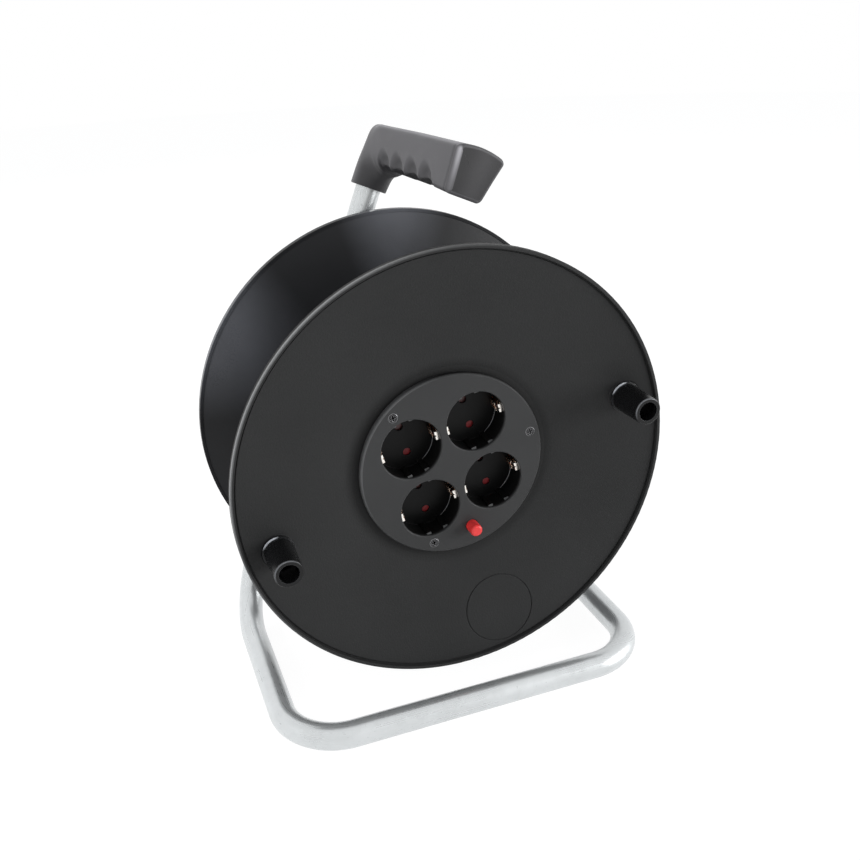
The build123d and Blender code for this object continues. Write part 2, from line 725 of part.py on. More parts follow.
bush_bore = axle_radius + running_fit
bush_radius = bush_bore + bush_wall - seat_gap
with BuildPart() as hub_bushes:
    turned((bush_bore, bush_front), (bush_flange_radius, bush_front),
           (bush_flange_radius, hub_front), (bush_radius, hub_front),
           (bush_radius, hub_front + bush_length), (bush_bore, hub_front + bush_length))
    flange_back = rear_web_back + bush_flange_wall
    turned((bush_bore, rear_web_back - bush_length), (bush_radius, rear_web_back - bush_length),
           (bush_radius, rear_web_back), (bush_flange_radius, rear_web_back),
           (bush_flange_radius, flange_back), (bush_bore, flange_back))
save(hub_bushes, "hub_bushes")

axle_nut_front = hub_plate_front + hub_plate_wall
axle_end = axle_nut_front + axle_nut_height + bolt_tail
with BuildPart() as axle:
    turned((0, axle_front), (axle_radius - 1, axle_front), (axle_radius, axle_front + 1),
           (axle_radius, collar_front), (collar_radius, collar_front), (collar_radius, hub_plate_front),
           (axle_thread_radius, hub_plate_front), (axle_thread_radius, axle_end), (0, axle_end))
    rod((0, 0), retainer_screw_radius + seat_gap, axle_front, axle_front + retainer_screw_length,
        mode=Mode.SUBTRACT)
save(axle, "axle")

with BuildPart() as retainer:
    rod((0, 0), retainer_radius, axle_front - retainer_wall, axle_front)
    rod((0, 0), retainer_screw_radius + seat_gap, axle_front - retainer_wall, axle_front,
        mode=Mode.SUBTRACT)
save(retainer, "retaining_washer")

retainer_head_back = axle_front - retainer_wall
with BuildPart() as retainer_screw:
    rod((0, 0), retainer_screw_radius, retainer_head_back, axle_front + retainer_screw_length - 1)
    with BuildSketch(upright(retainer_head_back)):
        RegularPolygon(retainer_screw_head_radius, 6)
    extrude(amount=retainer_screw_head_height)
save(retainer_screw, "retaining_screw")

with BuildPart() as axle_nut:
    with BuildSketch(upright(axle_nut_front + axle_nut_height)):
        RegularPolygon(axle_nut_radius, 6)
        Circle(axle_thread_radius + seat_gap, mode=Mode.SUBTRACT)
    extrude(amount=axle_nut_height)
save(axle_nut, "axle_nut")

# ---------------------------------------------------------------- stand


def leg_x(side, height):
    """Where a leg's centre line crosses a height: both lean inwards from the base's rear corners."""
    start = base_right if side > 0 else base_left
    return start - side * (height - tube_z) * tan(lean)


tube_y = rim_front + tube_depth
front_y = rim_front - front_reach
short_top = axle_height + short_leg_rise
grip_z = axle_height + grip_rise
upright_top = grip_z + (tube_in_grip - sleeve_drop) * cos(lean)
grip_screw_z = grip_z - sleeve_drop * 0.6 * cos(lean)
bolt_heights = [axle_height - bolt_pitch / 2, axle_height + bolt_pitch / 2]
bolt_spots = [(leg_x(side, z), z - axle_height) for side in (-1, 1) for z in bolt_heights]
with BuildPart() as frame_tube:
    with BuildLine():
        route = FilletPolyline(
            (leg_x(1, short_top), tube_y, short_top), (base_right, tube_y, tube_z),
            (base_right, front_y, tube_z), (base_left, front_y, tube_z),
            (base_left, tube_y, tube_z), (leg_x(-1, upright_top), tube_y, upright_top),
            radius=[rear_bend, corner_bend, corner_bend, rear_bend],
        )
    with BuildSketch(Plane(origin=route @ 0, z_dir=route % 0)):
        Circle(tube_radius)
        Circle(tube_radius - tube_wall, mode=Mode.SUBTRACT)
    sweep(path=route)
    with BuildSketch(upright(nut_seat)):
        with Locations(*bolt_spots):
            Circle(bolt_radius + free_gap)
    extrude(amount=2 * tube_radius, mode=Mode.SUBTRACT)
    with BuildSketch(upright(nut_seat)):
        with Locations((leg_x(-1, grip_screw_z), grip_screw_z - axle_height)):
            Circle(grip_screw_radius + seat_gap)
    extrude(amount=tube_radius, mode=Mode.SUBTRACT)
save(frame_tube, "frame_tube")

# plug in the short leg's open end
short_axis = Plane(origin=(leg_x(1, short_top), tube_y, short_top), z_dir=(-sin(lean), 0, cos(lean)))
with BuildPart() as end_plug:
    with BuildSketch(short_axis):
        Circle(tube_radius)
    extrude(amount=plug_wall)
    fillet(end_plug.edges().filter_by(GeomType.CIRCLE).sort_by(Axis.Z)[-1], plug_wall / 2)
    with BuildSketch(short_axis):
        Circle(tube_radius - tube_wall - seat_gap)
    extrude(amount=-plug_length)
save(end_plug, "tube_end_plug")

# hub plate: pressed steel between the legs, with folded lips, carrying the axle
half_plate = hub_plate_height / 2
plate_corners = [
    (leg_x(-1, axle_height - half_plate) - hub_plate_margin, -half_plate),
    (leg_x(1, axle_height - half_plate) + hub_plate_margin, -half_plate),
    (leg_x(1, axle_height + half_plate) + hub_plate_margin, half_plate),
    (leg_x(-1, axle_height + half_plate) - hub_plate_margin, half_plate),
]
with BuildPart() as hub_plate:
    with BuildSketch(upright(hub_plate_front + hub_plate_wall)) as outline:
        with BuildLine():
            Polyline(*plate_corners, close=True)
        make_face()
        fillet(outline.vertices(), hub_plate_margin * 0.7)
    extrude(amount=hub_plate_wall)
    for end in (half_plate - hub_plate_wall / 2, -half_plate + hub_plate_wall / 2):
        with BuildSketch(upright(hub_plate_front + hub_plate_wall + hub_plate_lip)):
            with Locations((0, end)):
                Rectangle(2 * hub_plate_lip_half_length, hub_plate_wall)
        extrude(amount=hub_plate_lip)
    with BuildSketch(upright(hub_plate_front + hub_plate_wall)):
        Circle(axle_thread_radius + seat_gap)
        with Locations(*bolt_spots):
            Circle(bolt_radius + free_gap)
    extrude(amount=hub_plate_wall, mode=Mode.SUBTRACT)
save(hub_plate, "hub_plate")

# four bolts through the plate and the legs, and their nuts
with BuildPart() as plate_bolts:
    for spot in bolt_spots:
        with BuildSketch(upright(hub_plate_front)):
            with Locations(spot):
                RegularPolygon(bolt_head_radius, 6)
        extrude(amount=bolt_head_height)
        with BuildSketch(upright(nut_seat + nut_height + bolt_tail)):
            with Locations(spot):
                Circle(bolt_radius)
        extrude(amount=nut_seat + nut_height + bolt_tail - hub_plate_front)
save(plate_bolts, "hub_plate_bolts")

with BuildPart() as plate_nuts:
    with BuildSketch(upright(nut_seat + nut_height)):
        with Locations(*bolt_spots):
            RegularPolygon(bolt_head_radius, 6)
            Circle(bolt_radius + seat_gap, mode=Mode.SUBTRACT)
    extrude(amount=nut_height)
save(plate_nuts, "hub_plate_nuts")

# ---------------------------------------------------------------- grip

# its side view lies in a plane through the upright that leans with it and swings out by the yaw
up = Vector(sin(lean), 0, cos(lean))
out = Vector(cos(lean), 0, -sin(lean))
level = Vector(0, -cos(radians(grip_yaw)), 0) + out * sin(radians(grip_yaw))
ahead = level * cos(radians(grip_pitch)) + up * sin(radians(grip_pitch))
grip_centre = Vector(leg_x(-1, grip_z), tube_y, grip_z)
side_view = Plane(origin=grip_centre, x_dir=ahead, z_dir=ahead.cross(up))
end_view = Plane(origin=grip_centre + ahead * grip_length, x_dir=-side_view.z_dir, z_dir=ahead)
top_view = Plane(origin=grip_centre, x_dir=ahead, z_dir=side_view.y_dir)
sleeve_plane = Plane(origin=grip_centre - up * sleeve_drop, z_dir=up)
low_half = grip_bottom_width / 2
with BuildPart() as grip:
    # the bar: its side view, cut to its section and to its plan
    with BuildSketch(side_view) as outline:
        with BuildLine():
            Polyline(
                (-grip_back_top, grip_top), (grip_length, grip_top), (grip_length, -grip_front_bottom),
                (groove_start + (groove_count - 0.4) * groove_pitch, -grip_front_bottom),
                (sleeve_radius, -grip_bottom), (-grip_back, -grip_bottom), close=True,
            )
        make_face()
        elbow_corner = side_view.from_local_coords(Vector(-grip_back_top, grip_top))
        fillet(outline.vertices().sort_by_distance(elbow_corner)[0], elbow_edge)
    extrude(amount=grip_width, both=True)
    with BuildSketch(end_view) as grip_section:
        with BuildLine():
            near_top = (-grip_width / 2, grip_top - grip_crown)
            far_top = (grip_width / 2, grip_top - grip_crown)
            ThreePointArc(near_top, (0, grip_top), far_top)
            Polyline(far_top, (low_half, -grip_front_bottom), (-low_half, -grip_front_bottom), near_top)
        make_face()
        fillet(grip_section.vertices(), grip_edge)
    extrude(amount=-(grip_length + grip_back), mode=Mode.INTERSECT)
    with BuildSketch(top_view):
        with BuildLine():
            Polyline((-grip_back, grip_back_width / 2), (grip_length, grip_width / 2),
                     (grip_length, -grip_width / 2), (-grip_back, -grip_back_width / 2), close=True)
        make_face()
    extrude(amount=grip_width, both=True, mode=Mode.INTERSECT)
    # the sleeve over the tube, and the brace inside the elbow
    with BuildSketch(sleeve_plane):
        Circle(sleeve_radius)
    extrude(amount=sleeve_drop + grip_top * 0.5)
    with BuildSketch(side_view):
        with BuildLine():
            Polyline((0, -grip_bottom - elbow_web), (sleeve_radius, -grip_bottom - elbow_web * 0.7),
                     (sleeve_radius + elbow_web, -grip_bottom + 1), (0, -grip_bottom + 1), close=True)
        make_face()
    extrude(amount=sleeve_radius * 0.75, both=True)
    with BuildSketch(side_view):
        for number in range(groove_count):
            along = groove_start + number * groove_pitch
            share = (number + 0.6) / (groove_count - 0.4)
            underside = -grip_bottom + (grip_bottom - grip_front_bottom) * share
            with Locations((along, underside - groove_radius + groove_depth)):
                Circle(groove_radius)
    extrude(amount=grip_width, both=True, mode=Mode.SUBTRACT)
    with BuildSketch(sleeve_plane):
        Circle(tube_radius + seat_gap)
    extrude(amount=tube_in_grip, mode=Mode.SUBTRACT)
    with BuildSketch(upright(tube_depth + sleeve_radius)):
        with Locations((leg_x(-1, grip_screw_z), grip_screw_z - axle_height)):
            Circle(grip_screw_radius + seat_gap)
    extrude(amount=sleeve_radius, mode=Mode.SUBTRACT)
save(grip, "grip")

# screw through the back of the sleeve into the tube
with BuildPart() as grip_screw:
    screw_spot = (leg_x(-1, grip_screw_z), grip_screw_z - axle_height)
    with BuildSketch(upright(tube_depth + sleeve_radius)):
        with Locations(screw_spot):
            Circle(grip_screw_radius)
    extrude(amount=sleeve_radius - tube_radius + 2 * tube_wall)
    with BuildSketch(upright(tube_depth + sleeve_radius + grip_screw_head_height)):
        with Locations(screw_spot):
            Circle(grip_screw_head_radius)
            Rectangle(2 * grip_screw_radius, cross_width, mode=Mode.SUBTRACT)
    extrude(amount=grip_screw_head_height)
save(grip_screw, "grip_screw")
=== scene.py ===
"""Dresses the extension cord reel: its hand grip and bent tube are new surfaces, the rest is the
CAD frame in procedural finishes, on a pale studio floor."""

from math import cos, pi, radians, sin, tan

import bpy
import numpy as np
from mathutils import Matrix, Vector


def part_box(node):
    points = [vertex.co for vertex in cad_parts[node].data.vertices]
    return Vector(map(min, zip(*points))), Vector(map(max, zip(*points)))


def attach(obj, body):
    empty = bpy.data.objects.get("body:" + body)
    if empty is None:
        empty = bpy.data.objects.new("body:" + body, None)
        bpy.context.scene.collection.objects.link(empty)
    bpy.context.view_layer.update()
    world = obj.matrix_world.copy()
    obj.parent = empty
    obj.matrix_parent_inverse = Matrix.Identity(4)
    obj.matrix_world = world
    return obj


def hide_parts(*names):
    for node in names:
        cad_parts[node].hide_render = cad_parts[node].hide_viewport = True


bl_info = {
    "name": "Extension cord reel",
    "version": (1, 0, 0),
    "blender": (4, 5, 0),
    "location": "View3D > Sidebar > Reel",
    "description": "Builds an extension cord reel's grip and tube and finishes every part",
    "category": "Object",
}

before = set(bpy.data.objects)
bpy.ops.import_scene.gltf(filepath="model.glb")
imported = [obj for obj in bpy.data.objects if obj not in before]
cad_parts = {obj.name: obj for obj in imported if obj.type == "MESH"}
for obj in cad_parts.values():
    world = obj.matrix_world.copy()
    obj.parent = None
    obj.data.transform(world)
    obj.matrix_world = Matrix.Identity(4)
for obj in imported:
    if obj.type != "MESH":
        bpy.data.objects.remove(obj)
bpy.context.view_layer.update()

MM = 0.001
TUBE_POINTS = 48  # points round the tube
TUBE_STEP = 1.6  # spacing of its rings in a bend, in millimetres
SECTION_POINTS = 128  # points round the grip
GRIP_STATIONS = 320  # rings along the grip
OUTLINE_STEP = 0.5  # spacing of its side view's points, in millimetres
BLACK = (0.0, 0.0, 0.0, 1.0)
WHITE = (1.0, 1.0, 1.0, 1.0)
UPPER_LEFT = (-0.9, 0, 0.44)  # where most painted light lies, seen from in front


# -------- sizes and colours


def a_colour(name, description, default):
    """Property of a colour."""
    return bpy.props.FloatVectorProperty(
        name=name, description=description, subtype="COLOR", default=default
    )


def a_size(name, description, default):
    """Property of a size in millimetres, or of a plain share."""
    return bpy.props.FloatProperty(name=name, description=description, default=default)


def an_angle(name, description, degrees):
    """Property of an angle."""
    return bpy.props.FloatProperty(
        name=name, description=description, subtype="ANGLE", default=radians(degrees)
    )


class ReelColours(bpy.types.PropertyGroup):
    """Colours of the finishes."""

    drum: a_colour("Drum", "Grained black of the front flange", (0.0245, 0.0248, 0.0250))
    rear: a_colour("Rear flange", "Smoother black of the rear flange", (0.0116, 0.0120, 0.0134))
    core: a_colour("Core", "Plain black of the core and small mouldings", (0.014, 0.0145, 0.0155))
    plate: a_colour("Socket plate", "Black of the plate and its recesses", (0.0440, 0.0445, 0.0450))
    knob: a_colour("Knobs", "Satin black of the winding knobs", (0.0060, 0.0062, 0.0066))
    grip: a_colour("Grip", "Soft dark grey of the hand grip", (0.088, 0.0865, 0.091))
    signal: a_colour("Signal red", "Red of the reset button", (0.80, 0.040, 0.040))
    # darker than the button's red partly as painted shade, as the shutters lie deep behind the pin
    # holes
    shutter: a_colour("Shutter red", "Deeper red of the shutters", (0.30, 0.016, 0.020))
    zinc: a_colour("Zinc", "Galvanised steel of the tube", (0.685, 0.708, 0.715))
    copper: a_colour("Copper", "Earth strip in the sockets", (0.86, 0.50, 0.34))


class ReelTube(bpy.types.PropertyGroup):
    """Course of the bent tube, in millimetres."""

    radius: a_size("Radius", "Outside radius of the tube", 8.75)
    half_width: a_size("Half width", "Half the distance between the side bars' centres", 125.2)
    shift: a_size("Shift", "How far the loop's middle lies to the side of the drum's axis", -4.3)
    front: a_size("Front bar", "Where the front bar's centre lies", -92.7)
    back: a_size("Uprights", "Where the uprights' centres lie", 85.7)
    corner: a_size("Corner bend", "Radius of the front corners", 39.0)
    rear_bend: a_size("Rear bend", "Radius of the rear bends", 49.0)
    lean: an_angle("Lean", "Angle of the uprights from the vertical", 22.1)
    short_top: a_size("Short leg", "Height of the short leg's end", 194.0)
    end_round: a_size("End rounding", "Rounding at the tube's two ends", 0.35)


class ReelGrip(bpy.types.PropertyGroup):
    """Shape of the hand grip, in millimetres."""

    height: a_size("Height", "Height of the grip's centre line on the upright", 340.0)
    in_grip: a_size("Tube inside", "Tube above the centre line", 7.8)
    length: a_size("Length", "From the upright to the front face", 118.4)
    yaw: an_angle("Yaw", "Swing from the drum's axis", 9.8)
    pitch: an_angle("Pitch", "Rise to the front", 2.0)
    twist: an_angle("Twist", "Turn about the grip's own length", -2.3)
    sleeve: a_size("Sleeve", "Half width of the sleeve on the tube", 12.6)
    crown: a_size("Crown", "Fall of the top from its middle to its sides", 2.6)
    face_lean: a_size("Face lean", "Lean of the front face, run over rise", 0.10)
    edge: a_size("Edge", "Rounding round the front face", 1.7)
    near_edge: a_size("Near edge", "Added rounding on its near side", 1.5)
    hem: a_size("Hem", "Rounding at the sleeve's lower end", 0.8)
    groove_depth: a_size("Groove depth", "Depth of the finger grooves", 3.4)
    groove_pitch: a_size("Groove pitch", "Spacing of the finger grooves", 18.9)
    groove_start: a_size("Groove start", "Where the first finger groove begins", 23.4)
    groove_count: bpy.props.IntProperty(
        name="Grooves", description="Number of finger grooves", default=4
    )


# -------- surfaces


def grid_mesh(name, points, attribute=None, closed=True):
    """Surface from a (stations, around, 3) grid in metres: it joins up around, and each end is
    closed by a fan to the middle of its last ring, or only the first end where closed is False.
    attribute is a second grid of the same shape, kept on the points as "run"."""
    stations, around, _ = points.shape
    rings = points.reshape(-1, 3)
    ends = np.array([points[0].mean(0), points[-1].mean(0)])
    vertices = np.vstack([rings, ends])
    i, j = np.meshgrid(np.arange(stations - 1), np.arange(around), indexing="ij")
    k = (j + 1) % around
    this, following = i * around, (i + 1) * around
    quads = np.stack([this + j, following + j, following + k, this + k], -1).reshape(-1, 4)
    spoke = np.arange(around)
    after = (spoke + 1) % around
    middle = np.full(around, stations * around)
    last_ring = (stations - 1) * around
    front = np.stack([spoke, after, middle], -1)
    back = np.stack([last_ring + after, last_ring + spoke, middle + 1], -1)
    faces = quads.tolist() + front.tolist()
    if closed:
        faces += back.tolist()
    else:
        vertices = vertices[:-1]
    mesh = bpy.data.meshes.new(name)
    mesh.from_pydata(vertices.tolist(), [], faces)
    if attribute is not None:
        ends = [attribute[0].mean(0), attribute[-1].mean(0)]
        values = np.vstack([attribute.reshape(-1, 3), ends])
        layer = mesh.attributes.new("run", "FLOAT_VECTOR", "POINT")
        layer.data.foreach_set("vector", values.astype(np.float32).ravel())
    mesh.polygons.foreach_set("use_smooth", np.ones(len(mesh.polygons), bool))
    mesh.update()
    piece = bpy.data.objects.new(name, mesh)
    bpy.context.scene.collection.objects.link(piece)
    return piece


def rounded_path(corners, bends, step):
    """Points along a run of straight lines whose corners are arcs. Each arc of radius r leaves its
    line at r times tan(turn / 2) before the corner, and a point on it is the arc's centre plus r
    times a unit vector turned evenly from one line's normal to the next's."""
    corners = np.asarray(corners, float)
    runs = np.diff(corners, axis=0)
    ways = runs / np.linalg.norm(runs, axis=1, keepdims=True)
    pieces = [corners[:1]]
    for corner, before, after, bend in zip(corners[1:-1], ways[:-1], ways[1:], bends):
        turn = np.arccos(np.clip(before @ after, -1, 1))
        start = corner - before * bend * np.tan(turn / 2)
        inward = after - before * (before @ after)
        inward = inward / np.linalg.norm(inward)
        angle = np.linspace(0, turn, max(4, int(bend * turn / step)))[:, None]
        previous = pieces[-1][-1]
        count = max(2, int(np.linalg.norm(start - previous) / (6 * step)))
        pieces.append(previous + (start - previous) * np.linspace(0, 1, count)[1:-1, None])
        pieces.append(start + bend * (np.sin(angle) * before + (1 - np.cos(angle)) * inward))
    previous = pieces[-1][-1]
    count = max(2, int(np.linalg.norm(corners[-1] - previous) / (6 * step)))
    pieces.append(previous + (corners[-1] - previous) * np.linspace(0, 1, count)[1:, None])
    return np.vstack(pieces)


def travelled(path):
    """Length of a path up to each of its points."""
    return np.concatenate([[0], np.cumsum(np.linalg.norm(np.diff(path, axis=0), axis=1))])


def tube_surface(name, path, radius, end_round):
    """Round tube along a path. Each station's circle lies square to the path, on axes made from one
    fixed direction less its share along the path. Near both ends the radius falls as a quarter
    circle of end_round. The attribute is (radius cos, radius sin, length travelled)."""
    way = np.gradient(path, axis=0)
    way /= np.linalg.norm(way, axis=1, keepdims=True)
    lead = np.array([1.0, 0.7, 0.45])  # runs along no stretch of the tube
    across = lead - way * (way @ lead)[:, None]
    across /= np.linalg.norm(across, axis=1, keepdims=True)
    other = np.cross(way, across)
    travel = travelled(path)
    to_end = np.minimum(travel, travel[-1] - travel)
    short = np.clip(1 - to_end / end_round, 0, 1)
    girth = radius - end_round * (1 - np.sqrt(1 - short**2))
    angle = np.linspace(0, 2 * pi, TUBE_POINTS, endpoint=False)
    cosine, sine = np.cos(angle)[None, :], np.sin(angle)[None, :]
    ring = cosine[..., None] * across[:, None, :] + sine[..., None] * other[:, None, :]
    points = path[:, None, :] + girth[:, None, None] * ring
    run = np.broadcast_arrays(cosine * radius, sine * radius, travel[:, None])
    return grid_mesh(name, points * MM, np.stack(run, -1) * MM)


def smooth(start, end, value):
    """Eases from 0 at start to 1 at end."""
    share = np.clip((value - start) / (end - start), 0, 1)
    return share * share * (3 - 2 * share)


def leg_x(tube, side, height):
    """Where an upright's centre line crosses a height, in millimetres."""
    base = tube.shift + side * tube.half_width
    return base - side * (height - tube.radius) * tan(tube.lean)


def grip_axes(tube, grip):
    """Origin and the ahead, side and up directions of the grip: it stands on the leaning upright,
    swung by its yaw, raised by its pitch and turned about its own length by its twist."""
    up = np.array([sin(tube.lean), 0, cos(tube.lean)])
    out = np.array([cos(tube.lean), 0, -sin(tube.lean)])
    level = np.array([0, -cos(grip.yaw), 0]) + out * sin(grip.yaw)
    ahead = level * cos(grip.pitch) + up * sin(grip.pitch)
    rise = up * cos(grip.pitch) - level * sin(grip.pitch)
    side = np.cross(ahead, rise)
    origin = np.array([leg_x(tube, -1, grip.height), tube.back, grip.height])
    turned_rise = rise * cos(grip.twist) + side * sin(grip.twist)
    turned_side = side * cos(grip.twist) - rise * sin(grip.twist)
    return origin, ahead, turned_side, turned_rise


def along(path, shares):
    """Points at shares of a path's length."""
    travel = travelled(path)
    return np.stack([np.interp(shares, travel / travel[-1], values) for values in path.T], -1)


def grip_outline(grip):
    """Outer and inner edge of the grip's side view, as matching stations of (ahead, up) pairs: up
    the back of the sleeve, over the rear corner and along the top; and up the front of the sleeve,
    round the inside of the elbow and along the underside. The inner stations lie closer up to the
    elbow, so that the line between the two edges turns evenly."""
    length = grip.length
    outer_corners = [[-11.6, -25.2], [-12.0, -8], [-6.7, 16.9], [60, 18.1], [length, 18.2]]
    inner_corners = [[13.6, -25.0], [16.6, -18.8], [25.0, -10.6], [84, -11.0], [length, -13.0]]
    outer_bends, inner_bends = [60, 4.5, 60], [10, 9, 40]
    outer = rounded_path(outer_corners, outer_bends, OUTLINE_STEP)
    inner = rounded_path(inner_corners, inner_bends, OUTLINE_STEP)
    shares = np.linspace(0, 1, GRIP_STATIONS)
    return along(outer, shares), along(inner, np.interp(shares, [0, 0.30, 1], [0, 0.13, 1]))


def rounded_square(corner):
    """Points and outward directions round a unit square, one row for each corner radius: a point of
    the square is pulled in to the smaller square that the corner leaves, and then goes out by the
    corner radius along the line it came."""
    run = np.arange(SECTION_POINTS) * 8.0 / SECTION_POINTS
    leg = np.floor(run / 2).astype(int) % 4
    part = run % 2 - 1
    one = np.ones_like(part)
    wide, high = [one, -part, -one, part], [part, one, -part, -one]
    square = np.stack([np.choose(leg, wide), np.choose(leg, high)], -1)
    limit = (1 - corner)[:, None, None]
    core = np.clip(square[None], -limit, limit)
    away = square[None] - core
    away = away / np.maximum(np.linalg.norm(away, axis=-1, keepdims=True), 1e-9)
    return core + corner[:, None, None] * away, away


def finger_press(grip, ahead, rise, outward):
    """How deep each point is pressed in, in millimetres. Across its share s of the pitch a finger
    groove is a scallop, sin(pi s^0.8)^0.8, fading out above the middle of the side. A shallow
    bell-shaped line, exp(-d^2), runs down the near side just behind the front edge."""
    place = (ahead - grip.groove_start) / grip.groove_pitch + 0.16 * (rise + 1)
    last = smooth(grip.groove_count - 0.04, grip.groove_count, place)
    inside = smooth(0, 0.10, place) * (1 - last)
    within = np.clip(place - np.floor(place), 0, 1)
    scallop = np.sin(pi * within**0.8) ** 0.8 * inside
    low = 1 - smooth(-0.58, -0.06, rise + 2.2 * (within - 0.42) ** 2)
    line_depth, line_half, line_back = 0.5, 0.9, 1.6
    line_place = grip.length - grip.edge - grip.near_edge - line_back
    line = np.exp(-(((ahead - line_place) / line_half) ** 2)) * np.clip(outward, 0, 1)
    return grip.groove_depth * scallop * low + line_depth * line


def grip_painted_light(grip, view, across, outward, pressed, turned, on_face, edge):
    """Masks of the grip's painted light, stacked as (edge, top, shade). turned is each ring's turn
    round the front edge, and on_face is 1 on the face's rings. The near edge gets a painted
    highlight in a bell exp(-d^2) of the turn, stronger at its top, and the crowned top a painted
    highlight all along. The shade is painted shade, the largest of those inside the elbow,
    underneath, in a line behind the near edge, on the face, darker to both sides, and in the
    grooves."""
    ahead, up = view[..., 0], view[..., 1]
    from_face = grip.length + grip.face_lean * up - ahead
    near = smooth(0.35, 0.9, outward[..., 0])
    # painted highlight of the near front edge, stronger towards the top
    highlight_by_height = 0.22 + 0.78 * smooth(-10.0, 15.0, up)
    brightest, half = radians(58), radians(27)
    on_edge = np.exp(-(((turned - brightest) / half) ** 2))[:, None] * near * highlight_by_height
    on_top = smooth(0.45, 0.95, outward[..., 1]) * smooth(-4.0, 12.0, ahead)
    on_top *= smooth(2.0, 5.0, from_face)
    in_elbow = smooth(-3.0, 8.0, ahead) * (1 - smooth(18.0, 36.0, ahead)) * smooth(1.0, 15.0, -up)
    under = smooth(0.2, 0.8, -outward[..., 1]) * smooth(2.0, 6.0, from_face)
    line = near * np.exp(-(((from_face - edge - 0.6) / 0.8) ** 2))
    sides = 0.34 * smooth(-3.0, 9.0, across) + 0.24 * smooth(4.0, 14.0, -across)
    face = on_face[:, None] * (0.56 + sides)
    # painted shade in the finger grooves
    groove_shade = smooth(0.1, 0.9, pressed / grip.groove_depth) * smooth(4.0, 7.0, from_face)
    shade = np.maximum.reduce([0.75 * in_elbow, 0.5 * under, 0.55 * line, face, 0.5 * groove_shade])
    return np.stack([on_edge, on_top, shade], -1)


def grip_surface(name, tube, grip):
    """Hand grip. Station t joins the side view's outer point to its inner point, and around that
    line the section is a rounded square scaled to the half height and half widths: its corner
    radius falls from 1 (a circle) at the sleeve to body_corner in front. The sides slant outwards
    to the top, the top is crowned by wide^2, and finger grooves are pressed in along the section's
    own outward direction. The front face leans, and closes over a round edge that is larger on the
    near side."""
    elbow, body_start, body_corner, lean_run = 26, 16, 0.22, 26
    swell, near_flare, far_flare, near_slant, far_slant = 0.5, 1.95, 2.75, 1.9, 1.5

    outer, inner = grip_outline(grip)
    middle = (outer + inner) / 2
    reach = (outer - inner) / 2
    half_height = np.linalg.norm(reach, axis=1)
    share = smooth(0, elbow, middle[:, 0])
    forward = np.clip((middle[:, 0] - body_start) / (grip.length - body_start), 0, 1)
    shape, outward = rounded_square(1.0 - (1.0 - body_corner) * share)
    wide, rise = shape[..., 0], shape[..., 1]

    body = grip.sleeve + swell * share
    near = (body + near_flare * forward)[:, None] + (near_slant * share)[:, None] * rise
    far_slant = far_slant * (1 + forward)
    far = (body + far_flare * forward)[:, None] + (far_slant * share)[:, None] * rise
    across = np.where(wide > 0, near, far) * wide
    crown = (grip.crown * share / half_height)[:, None]
    crowned = rise - crown * wide**2 * np.clip(rise, 0, 1)
    flat = middle[:, None, :] + reach[:, None, :] * crowned[..., None]

    press = finger_press(grip, flat[..., 0], rise, outward[..., 0])
    view = flat - reach[:, None, :] * (press / half_height[:, None] * outward[..., 1])[..., None]
    across = across - press * outward[..., 0]
    leaning = smooth(grip.length - lean_run, grip.length, view[..., 0])
    view[..., 0] += grip.face_lean * view[..., 1] * leaning

    def cap(at, way, lean, radius, turns, shares):
        """Rings that close an end: each point goes in by its edge radius times 1 - cos, and on by
        it times sin, and the last rings are that one shrunk to the middle by shares. All keep to
        the end's leaning plane."""
        reach_way = reach[at] / half_height[at]
        rings, widths = [], []
        for turn in turns:
            step = radius * (1 - cos(turn))
            ring = view[at] - reach_way * (step * outward[at, :, 1])[:, None]
            ring = ring + way * (radius * (sin(turn) - 1))[:, None]
            ring[:, 0] += lean * (ring[:, 1] - view[at, :, 1])
            rings.append(ring)
            widths.append(across[at] - step * outward[at, :, 0])
        last, width = rings[-1], widths[-1]
        for part in shares:
            rings.append(last.mean(0) + (last - last.mean(0)) * part)
            widths.append(width.mean() + (width - width.mean()) * part)
        return np.array(rings), np.array(widths)

    ahead_way, down_way = np.array([1.0, 0.0]), np.array([0.0, -1.0])
    edge = grip.edge + grip.near_edge * smooth(0.0, 1.0, outward[-1, :, 0])
    hem = np.full(SECTION_POINTS, grip.hem)
    turns = np.linspace(0, pi / 2, 13)[1:]
    face_shares, hem_shares = [0.965, 0.93, 0.7, 0.4, 0.12], [0.95, 0.5]
    front_rings, front_sides = cap(-1, ahead_way, grip.face_lean, edge, turns, face_shares)
    hem_rings, hem_sides = cap(0, down_way, 0.0, hem, turns[2::3], hem_shares)
    keep = flat[..., 0].max(1) <= grip.length - edge.max() - 0.2
    keep[-1] = True
    view[-1] -= ahead_way * edge[:, None]
    view = np.concatenate([(hem_rings + down_way * grip.hem)[::-1], view[keep], front_rings])
    across = np.concatenate([hem_sides[::-1], across[keep], front_sides])

    def carried(rows):
        """Values of each ring, with those of the end rings repeated over the caps."""
        first, last = len(hem_rings), len(front_rings)
        return np.concatenate([rows[:1].repeat(first, 0), rows[keep], rows[-1:].repeat(last, 0)])

    turned, on_face = np.zeros(len(view)), np.zeros(len(view))
    turned[-len(face_shares) - len(turns):-len(face_shares)] = turns
    on_face[-len(face_shares):] = 1
    outward, press = carried(outward), carried(press)
    # painted highlights and painted shade, kept on the points as the attribute
    wear_and_painted_light = grip_painted_light(grip, view, across, outward, press, turned, on_face, edge.max())

    origin, ahead, side, up = grip_axes(tube, grip)
    points = origin + view[..., :1] * ahead + view[..., 1:] * up + across[..., None] * side
    return grid_mesh(name, points * MM, wear_and_painted_light)


# -------- finishes, with lengths in millimetres


